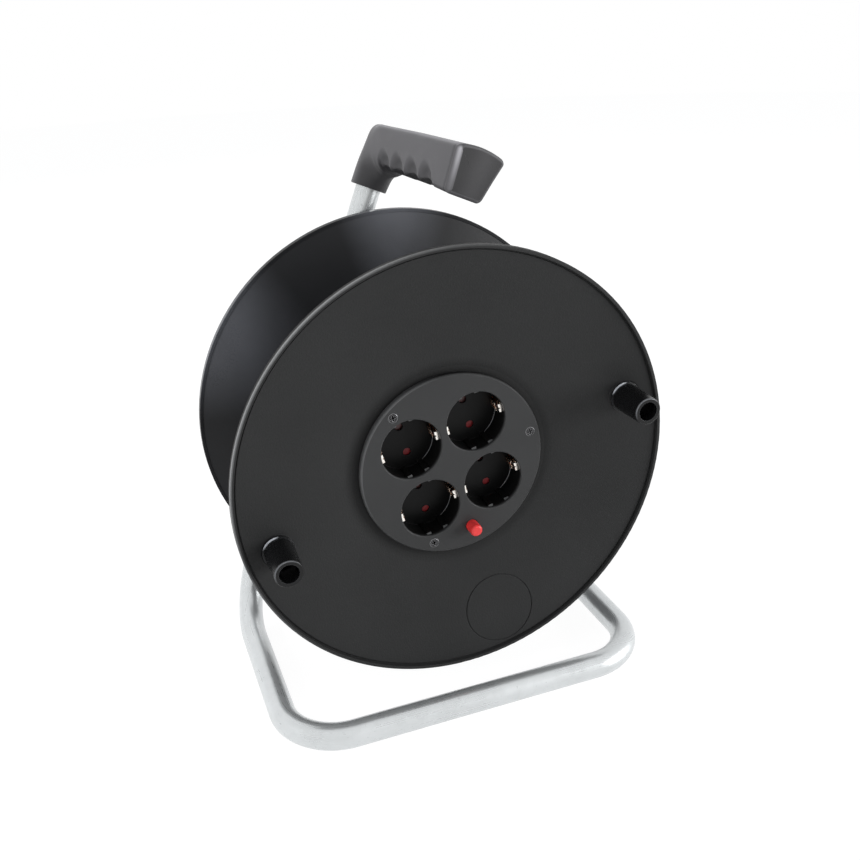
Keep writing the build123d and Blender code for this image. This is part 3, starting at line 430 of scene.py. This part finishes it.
class Nodes:
    """A node tree under construction, with short calls that add and link its nodes."""

    def __init__(self, owner):
        owner.use_nodes = True
        self.tree = owner.node_tree
        self.tree.nodes.clear()

    def add(self, kind, settings=None, **inputs):
        """New shader node; settings are its attributes, inputs are values or sockets by name."""
        node = self.tree.nodes.new("ShaderNode" + kind)
        for key, value in (settings or {}).items():
            setattr(node, key, value)
        for key, value in inputs.items():
            self.feed(node.inputs[key.replace("_", " ")], value)
        return node

    def feed(self, socket, value):
        """Sets a socket, or links it where the value is a socket."""
        if isinstance(value, bpy.types.NodeSocket):
            self.tree.links.new(value, socket)
        else:
            socket.default_value = value

    def math(self, operation, first, second=0.0):
        """One arithmetic node."""
        node = self.add("Math", {"operation": operation})
        self.feed(node.inputs[0], first)
        self.feed(node.inputs[1], second)
        return node.outputs[0]

    def times(self, first, second):
        """Product of two values."""
        return self.math("MULTIPLY", first, second)


class Finish(Nodes):
    """A material under construction: a shader with its output, and calls for its patterns."""

    def __init__(self, name):
        self.material = bpy.data.materials.new(name)
        super().__init__(self.material)
        self.shader = self.add("BsdfPrincipled")
        self.add("OutputMaterial", Surface=self.shader.outputs["BSDF"])
        self.coordinates = self.add("TexCoord").outputs["Object"]

    def noise(self, scale, detail=2.0, rough=0.5, stretch=None, coordinates=None):
        """Noise on the piece's own coordinates, stretched along axes where asked."""
        place = coordinates or self.coordinates
        if stretch:
            place = self.add("Mapping", Vector=place, Scale=stretch).outputs["Vector"]
        node = self.add("TexNoise", Vector=place, Scale=scale, Detail=detail, Roughness=rough)
        return node.outputs["Fac"]

    def spread(self, value, low, high, start=0.3, end=0.7):
        """Maps a 0..1 pattern from start..end onto low..high."""
        node = self.add("MapRange")
        self.feed(node.inputs["Value"], value)
        names = "From Min", "From Max", "To Min", "To Max"
        for name, number in zip(names, (start, end, low, high)):
            node.inputs[name].default_value = number
        return node.outputs["Result"]

    def blend(self, share, first, second):
        """Colour between two, by a share."""
        node = self.add("Mix", {"data_type": "RGBA"})
        self.feed(node.inputs["Factor"], share)
        self.feed(node.inputs["A"], first)
        self.feed(node.inputs["B"], second)
        return node.outputs["Result"]

    def rise(self, value, start, end, most=1.0):
        """0 up to start, most from end on."""
        return self.spread(value, 0.0, most, start, end)

    def fall(self, value, start, end, most=1.0):
        """most up to start, 0 from end on."""
        return self.spread(value, most, 0.0, start, end)

    def vector(self, operation, first, second=(0.0, 0.0, 0.0)):
        """One vector node, whose result is a number for a dot product or a length."""
        node = self.add("VectorMath", {"operation": operation})
        self.feed(node.inputs[0], first)
        self.feed(node.inputs[1], second)
        return node.outputs["Value" if operation in {"DOT_PRODUCT", "LENGTH"} else "Vector"]

    def edges(self, radius):
        """Normal softened over the edges by a radius in millimetres, and a mask that is 1 there."""
        soft = self.add("Bevel", {"samples": 6}, Radius=radius * MM).outputs["Normal"]
        true = self.add("NewGeometry").outputs["Normal"]
        return soft, self.fall(self.vector("DOT_PRODUCT", soft, true), 0.86, 0.995)

    def bump(self, height, strength, distance, normal=None):
        """Bump node on top of another normal, its distance in millimetres."""
        node = self.add("Bump", Strength=strength, Distance=distance * MM)
        self.feed(node.inputs["Height"], height)
        if normal is not None:
            self.feed(node.inputs["Normal"], normal)
        return node.outputs["Normal"]

    def from_middle(self, node):
        """Place of the shaded point from a CAD node's middle, in millimetres."""
        low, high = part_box(node)
        offset = self.vector("SUBTRACT", self.coordinates, tuple((low + high) / 2))
        return self.vector("MULTIPLY", offset, (1 / MM, 1 / MM, 1 / MM))

    def around(self, node):
        """Distance of the shaded point from the drum's axis, which is the middle of a round CAD
        node, and how far it lies behind that node's foremost point."""
        low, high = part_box(node)
        offset = self.from_middle(node)
        radius = self.vector("LENGTH", self.vector("MULTIPLY", offset, (1.0, 0.0, 1.0)))
        back = self.add("SeparateXYZ", Vector=offset).outputs["Y"]
        return radius, self.math("ADD", back, (high.y - low.y) / 2 / MM)

    def facing(self, way, start, end):
        """How far the surface's own normal points a way: 0 at the cosine start, 1 at end."""
        normal = self.add("TexCoord").outputs["Normal"]
        cosine = self.vector("DOT_PRODUCT", normal, tuple(Vector(way).normalized()))
        return self.rise(cosine, start, end)

    def towards(self, node, way):
        """How far the shaded point lies from a node's middle along a way."""
        unit = tuple(Vector(way).normalized())
        return self.vector("DOT_PRODUCT", self.from_middle(node), unit)

    def band(self, value, middle, half):
        """1 at a value's middle, falling evenly to 0 at half to either side."""
        apart = self.math("ABSOLUTE", self.math("SUBTRACT", value, middle))
        return self.fall(apart, 0.5 * half, half)

    def clouded(self, cloud, colour, dim, bright):
        """Colour between two tones of itself, by a cloud pattern."""
        return self.blend(self.spread(cloud, 0.0, 1.0), tone(colour, dim), tone(colour, bright))

    def done(self, **inputs):
        """Sets the shader's inputs and gives the material."""
        for key, value in inputs.items():
            self.feed(self.shader.inputs[key.replace("_", " ")], value)
        return self.material


def tone(colour, factor):
    """Colour times a factor, opaque."""
    return tuple(min(1.0, channel * factor) for channel in colour) + (1.0,)


def moulded(name, colour, rough=0.5, grain=900.0, depth=0.35, wear=0.5, edge=0.5, gloss=0.25,
            pale=3.2, dark=None, painted_highlight=None, lift=7.0):
    """Moulded plastic: a fine grain in the normal, cloudy tone and roughness, hair scratches, and
    paler edges, which are wear, and a painted highlight where pale is large. dark is a function of
    the finish giving a mask of painted shade, which blackens; the other mask function gives a shiny
    lip of painted highlight, lift times paler."""
    finish = Finish(name)
    cloud = finish.noise(11.0, 3.0)
    fine = finish.noise(grain, 2.0, 0.6)
    hairs = finish.rise(finish.noise(60.0, 4.0, 0.6, stretch=(1.0, 1.0, 22.0)), 0.66, 0.74)
    normal, edge_mask = finish.edges(edge)
    # paler edges: wear, and a painted highlight where pale is large, as on the knobs
    wear_and_painted_light = finish.times(edge_mask, finish.spread(finish.noise(45.0, 3.0), 0.25 * wear, wear))
    body = finish.clouded(cloud, colour, 0.88, 1.12)
    body = finish.blend(finish.times(hairs, 0.25), body, tone(colour, 1.9))
    body = finish.blend(wear_and_painted_light, body, tone(colour, pale))
    mottle = finish.math("ADD", cloud, finish.times(fine, 0.4))
    roughness = finish.spread(mottle, rough - 0.07, rough + 0.08, 0.4, 1.0)
    # painted shade, then a shiny lip of painted highlight
    if dark:
        body = finish.blend(dark(finish), body, BLACK)
    if painted_highlight:
        lip = painted_highlight(finish)
        body = finish.blend(lip, body, tone(colour, lift))
        roughness = finish.math("SUBTRACT", roughness, finish.times(lip, 0.12))
    return finish.done(Base_Color=body, Roughness=roughness, Specular_IOR_Level=gloss,
                       Normal=finish.bump(fine, depth, 0.18, normal))


def round_size(node):
    """Radius of a round CAD node, in millimetres."""
    low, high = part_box(node)
    return (high.x - low.x) / 2 / MM


def rim_side(finish, node, start, end):
    """Mask of painted shade on a flange's outer wall, which begins from start to end behind its
    front.
    """
    radius, depth = finish.around(node)
    rim = round_size(node)
    wall = finish.rise(radius, rim - 0.4, rim - 0.1, 0.6)
    return finish.times(wall, finish.rise(depth, start, end))


def front_shade(node, plate):
    """Masks of the front flange: painted shade in the ring round the plate and on the rim's
    outside, and a painted highlight along the upper left of the rim's front edge."""
    rim, plate_rim = round_size(node), round_size(plate)

    def dark(finish):
        radius = finish.around(node)[0]
        # painted shadow in a ring round the plate
        ring = finish.fall(radius, plate_rim + 1.0, plate_rim + 10.0, 0.55)
        return finish.math("MAXIMUM", rim_side(finish, node, 2.2, 3.2), ring)

    def painted_highlight(finish):
        radius, depth = finish.around(node)
        # painted highlight along the rim lip, strongest to the upper left
        lip = finish.times(finish.rise(radius, rim - 1.4, rim - 0.1), finish.fall(depth, 1.2, 2.6))
        reach = finish.towards(node, UPPER_LEFT)
        return finish.times(lip, finish.spread(reach, 0.05, 1.0, 0.15 * rim, 0.95 * rim))

    return {"dark": dark, "painted_highlight": painted_highlight}


def rear_shade(node):
    """Masks of the rear flange: painted shade on the rim's outside, and two fans of painted
    reflection on its face, upwards and to the upper left, strongest near the rim and fading out to
    both sides and the hub."""
    rim = round_size(node)
    fans = (((-0.87, 0, 0.50), 0.90), ((0.05, 0, 1.0), 0.955))  # way, cosine at the fan's side

    def dark(finish):
        return rim_side(finish, node, 0.4, 0.8)

    def painted_highlight(finish):
        radius = finish.around(node)[0]
        shares = []
        # each fan is a painted reflection
        for way, side in fans:
            cosine = finish.math("DIVIDE", finish.towards(node, way), radius)
            shares.append(finish.math("POWER", finish.rise(cosine, side, 1.0), 1.6))
        near_rim = finish.spread(radius, 0.3, 1.0, rim - 42.0, rim - 5.0)
        cloud = finish.spread(finish.noise(22.0, 3.0), 0.7, 1.0)
        return finish.times(finish.times(finish.math("MAXIMUM", *shares), near_rim), cloud)

    return {"dark": dark, "painted_highlight": painted_highlight}


def plate_lines(node, floor, ribs):
    """Mask function for the plate's painted highlights: the recess wall's foot where it faces up
    and to the left, just before the depth of the floor; the front ends of the guide ribs; and the
    left of the plate's outer edge."""
    rim = round_size(node)

    def painted_highlight(finish):
        radius, depth = finish.around(node)
        up_left = finish.facing((-0.93, 0, 0.37), 0.80, 0.97)
        foot = finish.times(finish.band(depth, floor - 0.5, 0.5), up_left)
        ends = finish.times(finish.band(depth, ribs, 0.3), finish.facing((0, -1, 0), 0.8, 0.9))
        edge = finish.times(finish.rise(radius, rim - 1.4, rim - 0.8, 0.12),
                            finish.rise(finish.towards(node, UPPER_LEFT), 0.5 * rim, 0.9 * rim))
        inside = finish.math("MAXIMUM", foot, finish.times(ends, 0.14))
        return finish.math("MAXIMUM", inside, edge)

    return painted_highlight


def knob_lines(node, collar, radius):
    """Mask function for a knob's painted highlights, both at its upper left: the front edge of its
    collar, of a thickness, and faintly the edge of its tip, at a radius."""
    low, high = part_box(node)
    collar_front = (high.y - low.y) / MM - collar

    def painted_highlight(finish):
        reach, depth = finish.around(node)
        along_light = finish.towards(node, (-0.55, 0, 0.83))
        collar_edge = finish.band(depth, collar_front + 0.2, 0.5)
        on_collar = finish.times(collar_edge, finish.rise(along_light, 8.0, 9.4))
        tip = finish.times(finish.band(reach, radius - 0.5, 0.5), finish.fall(depth, 0.4, 1.0, 0.2))
        on_tip = finish.times(tip, finish.rise(along_light, 0.0, 6.0))
        return finish.math("MAXIMUM", on_collar, on_tip)

    return painted_highlight


def sunk(node, start, end, most=1.0):
    """Mask function of painted shade for what lies behind a node's front face, from start to end
    deep.
    """

    def dark(finish):
        return finish.rise(finish.around(node)[1], start, end, most)

    return dark


def soft_grip(name, colour):
    """Soft-touch plastic: dense fine grain, a low sheen and faint rubbed patches. The attribute
    carries
    painted light: painted highlights on the front edge (its x) and the crowned top (its y), and
    painted shade (its z)."""
    finish = Finish(name)
    cloud = finish.noise(26.0, 3.0)
    fine = finish.noise(1500.0, 2.0, 0.6)
    pores = finish.add("TexVoronoi", Vector=finish.coordinates, Scale=900.0)
    rubbed = finish.rise(finish.noise(60.0, 4.0, 0.6), 0.52, 0.72, 0.5)
    run = finish.add("Attribute", {"attribute_name": "run"}).outputs["Vector"]
    wear_and_painted_light = finish.add("SeparateXYZ", Vector=run)
    body = finish.clouded(cloud, colour, 0.9, 1.1)
    body = finish.blend(rubbed, body, tone(colour, 1.22))
    # paler for the painted highlights of the front edge and top, darker for the painted shade
    for axis, factor in (("Y", 2.8), ("X", 5.6), ("Z", 0.22)):
        body = finish.blend(wear_and_painted_light.outputs[axis], body, tone(colour, factor))
    height = finish.math("ADD", fine, finish.times(pores.outputs["Distance"], 0.35))
    return finish.done(Base_Color=body, Roughness=finish.spread(cloud, 0.46, 0.60),
                       Specular_IOR_Level=0.28, Sheen_Weight=0.05, Sheen_Roughness=0.4,
                       Normal=finish.bump(height, 0.3, 0.15))


def galvanised(name, colour):
    """Galvanised tube: drawing lines along it, a faint spangle, duller patches and small dark
    specks."""
    finish = Finish(name)
    run = finish.add("Attribute", {"attribute_name": "run"}).outputs["Vector"]
    lines = finish.noise(900.0, 3.0, 0.6, stretch=(1.0, 1.0, 0.012), coordinates=run)
    broad = finish.noise(160.0, stretch=(1.0, 1.0, 0.06), coordinates=run)
    spangle = finish.add("TexVoronoi", Vector=run, Scale=220.0).outputs["Color"]
    patch = finish.noise(28.0, 4.0, 0.6)
    speck = finish.rise(finish.noise(520.0), 0.70, 0.76)
    body = finish.clouded(patch, colour, 0.90, 1.04)
    body = finish.blend(finish.times(spangle, 0.16), body, tone(colour, 0.72))
    body = finish.blend(finish.times(speck, 0.5), body, tone(colour, 0.45))
    rough = finish.math("ADD", finish.spread(patch, 0.25, 0.34), finish.spread(lines, -0.04, 0.05))
    height = finish.math("ADD", lines, finish.times(broad, 1.5))
    return finish.done(Base_Color=body, Roughness=rough, Metallic=0.70,
                       Normal=finish.bump(height, 0.10, 0.2))


def metal(name, colour, rough=0.3, lines=(1.0, 1.0, 1.0), edge=0.3, pale=1.25, dark=None):
    """Plated or bare metal part: fine machining lines, cloudy dulling, and brighter edges, which
    are a painted highlight where pale is large. dark is a function of the finish that gives a mask
    of painted shade, black where it is 1."""
    finish = Finish(name)
    cloud = finish.noise(90.0, 4.0, 0.6)
    fine = finish.noise(1600.0, 3.0, 0.6, stretch=lines)
    normal, edge_mask = finish.edges(edge)
    body = finish.clouded(cloud, colour, 0.8, 1.0)
    # brighter edges: a painted highlight where pale is large
    body = finish.blend(finish.times(edge_mask, 0.5), body, tone(colour, pale))
    if dark:
        body = finish.blend(dark(finish), body, BLACK)
    dulled = finish.spread(cloud, rough - 0.07, rough + 0.1)
    roughness = finish.math("ADD", dulled, finish.spread(fine, -0.04, 0.05))
    return finish.done(Base_Color=body, Roughness=roughness, Metallic=1.0,
                       Normal=finish.bump(fine, 0.12, 0.1, normal))


def clip_copper(name, colour, node):
    """Sprung copper strip: a painted highlight, nearly white, at its foremost fold and paler copper
    just behind it, crinkled and browner towards the recess floor."""
    painted_glint, bright = (0.97, 0.95, 0.90, 1.0), (1.0, 0.80, 0.66, 1.0)
    finish = Finish(name)
    cloud = finish.noise(160.0, 4.0, 0.6)
    depth = finish.around(node)[1]
    lines = finish.noise(1600.0, 3.0, 0.6, stretch=(1.0, 0.1, 1.0))
    # painted highlights: nearly white at the fold, then paler copper
    body = finish.blend(finish.rise(depth, 2.2, 4.2), painted_glint, bright)
    body = finish.blend(finish.rise(depth, 6.0, 11.0), body, tone(colour, 0.8))
    body = finish.blend(finish.spread(cloud, 0.0, 0.25), body, tone(colour, 0.6))
    crinkle = finish.times(finish.noise(620.0, 2.0, 0.6), finish.rise(depth, 3.4, 4.6))
    return finish.done(Base_Color=body, Roughness=finish.spread(cloud, 0.18, 0.30), Metallic=1.0,
                       Normal=finish.bump(crinkle, 1.0, 2.2, finish.bump(lines, 0.12, 0.1)))


def glossy_red(name, colour, shaded=None):
    """Bright red moulding: smooth, with slight clouds, a faint orange-peel and rubbed edges. shaded
    is a node whose upper half is shown dull and brownish, as it lies in the recess wall's shade."""
    rubbed, dull = (0.95, 0.22, 0.18, 1.0), (0.016, 0.008, 0.006, 1.0)
    finish = Finish(name)
    cloud = finish.noise(300.0, 3.0)
    peel = finish.noise(1400.0, 1.0)
    normal, edge_mask = finish.edges(0.4)
    body = finish.clouded(cloud, colour, 0.92, 1.05)
    body = finish.blend(finish.times(edge_mask, 0.25), body, rubbed)
    if shaded:
        height = finish.towards(shaded, (0, 0, 1))
        body = finish.blend(finish.rise(height, -1.0, 3.0, 0.85), body, dull)
    return finish.done(Base_Color=body, Roughness=finish.spread(cloud, 0.30, 0.40),
                       Normal=finish.bump(peel, 0.08, 0.1, normal))


def paint(material, *nodes):
    """Gives CAD nodes a finish."""
    for node in nodes:
        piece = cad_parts[node]
        piece.data.materials.clear()
        piece.data.materials.append(material)


# -------- operators


class REEL_OT_tube(bpy.types.Operator):
    """Sweep the bent steel tube of the stand"""

    bl_idname = "reel.tube"
    bl_label = "Bent tube"

    def execute(self, context):
        scene = context.scene
        tube, grip = scene.reel_tube, scene.reel_grip
        low = tube.radius
        top = grip.height + grip.in_grip * cos(tube.lean)
        left, right = tube.shift - tube.half_width, tube.shift + tube.half_width
        corners = [
            (leg_x(tube, 1, tube.short_top), tube.back, tube.short_top), (right, tube.back, low),
            (right, tube.front, low), (left, tube.front, low), (left, tube.back, low),
            (leg_x(tube, -1, top), tube.back, top),
        ]
        bends = [tube.rear_bend, tube.corner, tube.corner, tube.rear_bend]
        path = rounded_path(corners, bends, TUBE_STEP)
        piece = tube_surface("bent_tube", path, tube.radius, tube.end_round)
        piece.data.materials.append(galvanised("galvanised_tube", scene.reel_colours.zinc))
        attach(piece, "stand")
        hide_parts("frame_tube")
        return {"FINISHED"}


class REEL_OT_grip(bpy.types.Operator):
    """Shape the hand grip with its finger grooves"""

    bl_idname = "reel.grip"
    bl_label = "Hand grip"

    def execute(self, context):
        piece = grip_surface("hand_grip", context.scene.reel_tube, context.scene.reel_grip)
        piece.data.materials.append(soft_grip("soft_grey_grip", context.scene.reel_colours.grip))
        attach(piece, "stand")
        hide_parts("grip")
        return {"FINISHED"}


class REEL_OT_stand(bpy.types.Operator):
    """Finish the stand's pressings, axle and fixings"""

    bl_idname = "reel.stand"
    bl_label = "Stand parts"

    def execute(self, context):
        colours = context.scene.reel_colours
        pressing = metal("zinc_pressing", (0.66, 0.67, 0.69), rough=0.34, lines=(0.05, 1.0, 1.0))
        fixing = metal("zinc_fixing", (0.62, 0.63, 0.64))
        turned = metal("turned_steel", (0.60, 0.60, 0.61), rough=0.24, lines=(1.0, 0.1, 1.0))
        paint(pressing, "hub_plate")
        paint(fixing, "hub_plate_bolts", "hub_plate_nuts", "axle_nut")
        paint(turned, "axle", "retaining_washer", "retaining_screw")
        paint(moulded("plug_plastic", colours.core, grain=1100.0), "tube_end_plug")
        paint(metal("dark_screw", (0.32, 0.32, 0.33), rough=0.34), "grip_screw")
        return {"FINISHED"}


class REEL_OT_drum(bpy.types.Operator):
    """Finish the drum's flanges and core"""

    bl_idname = "reel.drum"
    bl_label = "Drum"

    def execute(self, context):
        colours = context.scene.reel_colours
        front = moulded("grained_black", colours.drum, grain=780.0, depth=0.70, wear=0.2,
                        gloss=0.15, lift=9.0, **front_shade("front_flange", "socket_plate"))
        rear = moulded("rear_black", colours.rear, rough=0.38, depth=0.25, wear=0.3, gloss=0.22,
                       lift=10.5, **rear_shade("rear_flange"))
        core = moulded("plain_black", colours.core, rough=0.42, depth=0.2, wear=0.3, edge=0.4)
        gland = moulded("gland_black", colours.core, rough=0.46, grain=1300.0, depth=0.25,
                        wear=0.4, edge=0.4)
        bearing = moulded("bearing_white", (0.56, 0.55, 0.51), rough=0.4, grain=1200.0, depth=0.15,
                          wear=0.1, edge=0.3)
        paint(front, "front_flange")
        paint(rear, "rear_flange")
        paint(core, "drum_core")
        paint(gland, "cable_gland", "gland_nut")
        paint(bearing, "hub_bushes")
        paint(metal("core_screw_steel", (0.36, 0.36, 0.37), rough=0.32), "core_screws")
        return {"FINISHED"}


class REEL_OT_knobs(bpy.types.Operator):
    """Finish the winding knobs and their screws"""

    bl_idname = "reel.knobs"
    bl_label = "Winding knobs"

    def execute(self, context):
        colours = context.scene.reel_colours
        for name in ("knob_left", "knob_right"):
            # the knobs' much paler edges are a painted highlight on the tip ring's outlines
            lines = knob_lines(name, collar=1.6, radius=9.0)
            satin = moulded(f"satin_black_{name}", colours.knob, rough=0.28, grain=1200.0,
                            depth=0.12, wear=1.0, edge=0.3, pale=24.0, painted_highlight=lines,
                            lift=110.0)
            paint(satin, name)
        paint(metal("knob_screw_steel", (0.22, 0.22, 0.23), rough=0.36), "knob_screws")
        return {"FINISHED"}


class REEL_OT_sockets(bpy.types.Operator):
    """Finish the socket plate, its screws, the earth clips, the shutters and the button"""

    bl_idname = "reel.sockets"
    bl_label = "Sockets and button"

    def execute(self, context):
        colours = context.scene.reel_colours
        shutters = [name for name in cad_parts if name.startswith("shutter_")]
        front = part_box("socket_plate")[0].y
        shutter_depth = (min(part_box(name)[0].y for name in shutters) - front) / MM
        floor_wall = 1.9  # between a recess's floor and the shutter behind it
        rib_depth = 2.5  # from the plate's front to the ribs' front ends
        # painted highlights of the recess foot, rib ends and plate edge
        lines = plate_lines("socket_plate", shutter_depth - floor_wall, rib_depth)
        # painted shade in the recesses
        recess = sunk("socket_plate", 0.6, 3.0, 0.90)
        plate = moulded("plate_black", colours.plate, rough=0.40, grain=1300.0, depth=0.28,
                        wear=0.8, gloss=0.15, pale=3.0, dark=recess, painted_highlight=lines, lift=15.0)
        # painted shade in the screws' crosses, and a painted highlight on their much paler edges
        cross = sunk("plate_screws", 0.2, 0.5)
        screw = metal("plate_screw_steel", (0.055, 0.055, 0.057), edge=0.5, pale=12.0, dark=cross)
        paint(plate, "socket_plate")
        paint(screw, "plate_screws")
        paint(clip_copper("earth_copper", colours.copper, "earth_frame"), "earth_frame")
        for name in shutters:
            paint(glossy_red(f"red_{name}", colours.shutter, name), name)
        paint(glossy_red("button_red", colours.signal), "reset_button")
        return {"FINISHED"}


class REEL_OT_inside(bpy.types.Operator):
    """Finish what lies behind the plate: contacts, carrier, cut-out and terminals"""

    bl_idname = "reel.inside"
    bl_label = "Inner parts"

    def execute(self, context):
        grey = moulded("insulating_grey", (0.26, 0.26, 0.25), rough=0.45, grain=1100.0, depth=0.2,
                       wear=0.2, edge=0.3)
        cutout = moulded("cutout_grey", (0.12, 0.12, 0.12), rough=0.42, grain=1100.0, depth=0.2,
                         wear=0.3, edge=0.3)
        brass = metal("contact_brass", (0.83, 0.66, 0.36), rough=0.28, edge=0.2)
        screw = metal("inner_screw_steel", (0.55, 0.55, 0.55), edge=0.2)
        wire = metal("spring_wire", (0.60, 0.60, 0.61), rough=0.22, edge=0.1)
        paint(grey, "contact_carrier", "terminal_block")
        paint(cutout, "overload_cutout")
        paint(brass, "live_contacts", "neutral_contacts")
        paint(screw, "carrier_screws", "terminal_screws")
        paint(wire, "reset_spring")
        return {"FINISHED"}


def white_mix(nodes, output, lit, white, share):
    """Ends a node tree in a mix of two shaders: lit, and white, by a share, where a camera, glossy
    or transmission ray asks."""
    rays = nodes.add("LightPath").outputs
    asked = nodes.math("MAXIMUM", rays["Is Camera Ray"], rays["Is Glossy Ray"])
    asked = nodes.math("MAXIMUM", asked, rays["Is Transmission Ray"])
    mix = nodes.add("MixShader", Fac=nodes.times(asked, share))
    nodes.feed(mix.inputs[1], lit.outputs[0])
    nodes.feed(mix.inputs[2], white.outputs[0])
    nodes.add(output, Surface=mix.outputs["Shader"])


class REEL_OT_stage(bpy.types.Operator):
    """Set the floor, the soft lights, the white surround and the camera"""

    bl_idname = "reel.stage"
    bl_label = "Studio"

    def execute(self, context):
        scene = context.scene
        scene.view_settings.view_transform = "Standard"
        self.floor()
        self.surround(scene)
        self.lamps(scene)
        self.camera(scene)
        return {"FINISHED"}

    def floor(self):
        """Round pale floor: a disc whose rings spread with the square of their number."""
        rings, around, reach, level = 40, 96, 4.0, -0.2 * MM
        radius = (np.linspace(0.02, 1, rings) ** 2 * reach)[:, None]
        angle = np.linspace(0, 2 * pi, around, endpoint=False)[None, :]
        height = np.full((rings, around), level)
        points = np.stack([radius * np.cos(angle), radius * np.sin(angle), height], -1)
        piece = grid_mesh("studio_floor", points, closed=False)
        material = bpy.data.materials.new("pale_floor")
        nodes = Nodes(material)
        diffuse = nodes.add("BsdfDiffuse", Color=(0.82, 0.82, 0.82, 1.0))
        glow = nodes.add("Emission", Color=WHITE, Strength=1.13)
        white_mix(nodes, "OutputMaterial", diffuse, glow, 0.82)
        piece.data.materials.append(material)

    def surround(self, scene):
        """World: white where seen, softer where it lights."""
        world = bpy.data.worlds.new("studio")
        scene.world = world
        nodes = Nodes(world)
        light = nodes.add("Background", Color=(0.95, 0.97, 1.0, 1.0), Strength=0.45)
        white = nodes.add("Background", Color=WHITE, Strength=1.0)
        white_mix(nodes, "OutputWorld", light, white, 1.0)

    def lamps(self, scene):
        """Soft boxes: name, place, height of their aim over the floor's middle, size, power, and
        whether shiny parts mirror them."""
        boxes = [
            ("left_box", (-1.7, -0.15, 0.9), 0.20, 1.3, 22.0, False),
            ("right_box", (1.35, -0.85, 0.30), 0.16, 0.9, 22.0, True),
            ("back_box", (-0.4, 1.3, 1.4), 0.25, 1.2, 14.0, False),
        ]
        for name, place, aim, size, power, mirrored in boxes:
            data = bpy.data.lights.new(name, "AREA")
            data.shape = "SQUARE"
            data.size = size
            data.energy = power
            lamp = bpy.data.objects.new(name, data)
            lamp.location = place
            lamp.visible_glossy = mirrored
            beam = Vector((0, 0, aim)) - Vector(place)
            lamp.rotation_euler = beam.to_track_quat("-Z", "Y").to_euler()
            scene.collection.objects.link(lamp)

    def camera(self, scene):
        """Camera from its place, heading, height angle and tilt."""
        place = Vector((-0.20051, -0.57678, 0.43665))
        heading, climb, tilt = radians(-19.36), radians(23.96), radians(-2.70)
        back = Vector((sin(heading) * cos(climb), -cos(heading) * cos(climb), sin(climb)))
        level = Vector((cos(heading), sin(heading), 0))
        above = back.cross(level)
        right = level * cos(tilt) + above * sin(tilt)
        top = above * cos(tilt) - level * sin(tilt)
        data = bpy.data.cameras.new("camera")
        data.lens = 40.98
        data.sensor_width = 36.0
        data.clip_start = 0.01
        camera = bpy.data.objects.new("camera", data)
        turn = Matrix((right, top, back)).transposed().to_4x4()
        camera.matrix_world = Matrix.Translation(place) @ turn
        scene.collection.objects.link(camera)
        scene.camera = camera


class REEL_PT_panel(bpy.types.Panel):
    """Sizes, colours and build steps of the reel"""

    bl_idname = "REEL_PT_panel"
    bl_label = "Extension cord reel"
    bl_space_type = "VIEW_3D"
    bl_region_type = "UI"
    bl_category = "Reel"

    def draw(self, context):
        column = self.layout.column()
        for operator in OPERATORS:
            column.operator(operator.bl_idname)
        for group in (context.scene.reel_colours, context.scene.reel_tube, context.scene.reel_grip):
            for key in group.bl_rna.properties.keys():
                if key not in {"rna_type", "name"}:
                    column.prop(group, key)


GROUPS = {"reel_colours": ReelColours, "reel_tube": ReelTube, "reel_grip": ReelGrip}
OPERATORS = [
    REEL_OT_tube, REEL_OT_grip, REEL_OT_stand, REEL_OT_drum, REEL_OT_knobs, REEL_OT_sockets,
    REEL_OT_inside, REEL_OT_stage,
]
CLASSES = [*GROUPS.values(), *OPERATORS, REEL_PT_panel]


def register():
    for cls in CLASSES:
        bpy.utils.register_class(cls)
    for name, group in GROUPS.items():
        setattr(bpy.types.Scene, name, bpy.props.PointerProperty(type=group))


def unregister():
    for name in GROUPS:
        delattr(bpy.types.Scene, name)
    for cls in reversed(CLASSES):
        bpy.utils.unregister_class(cls)


def main():
    register()
    for operator in OPERATORS:
        group, name = operator.bl_idname.split(".")
        getattr(getattr(bpy.ops, group), name)()


if __name__ == "__main__":
    main()
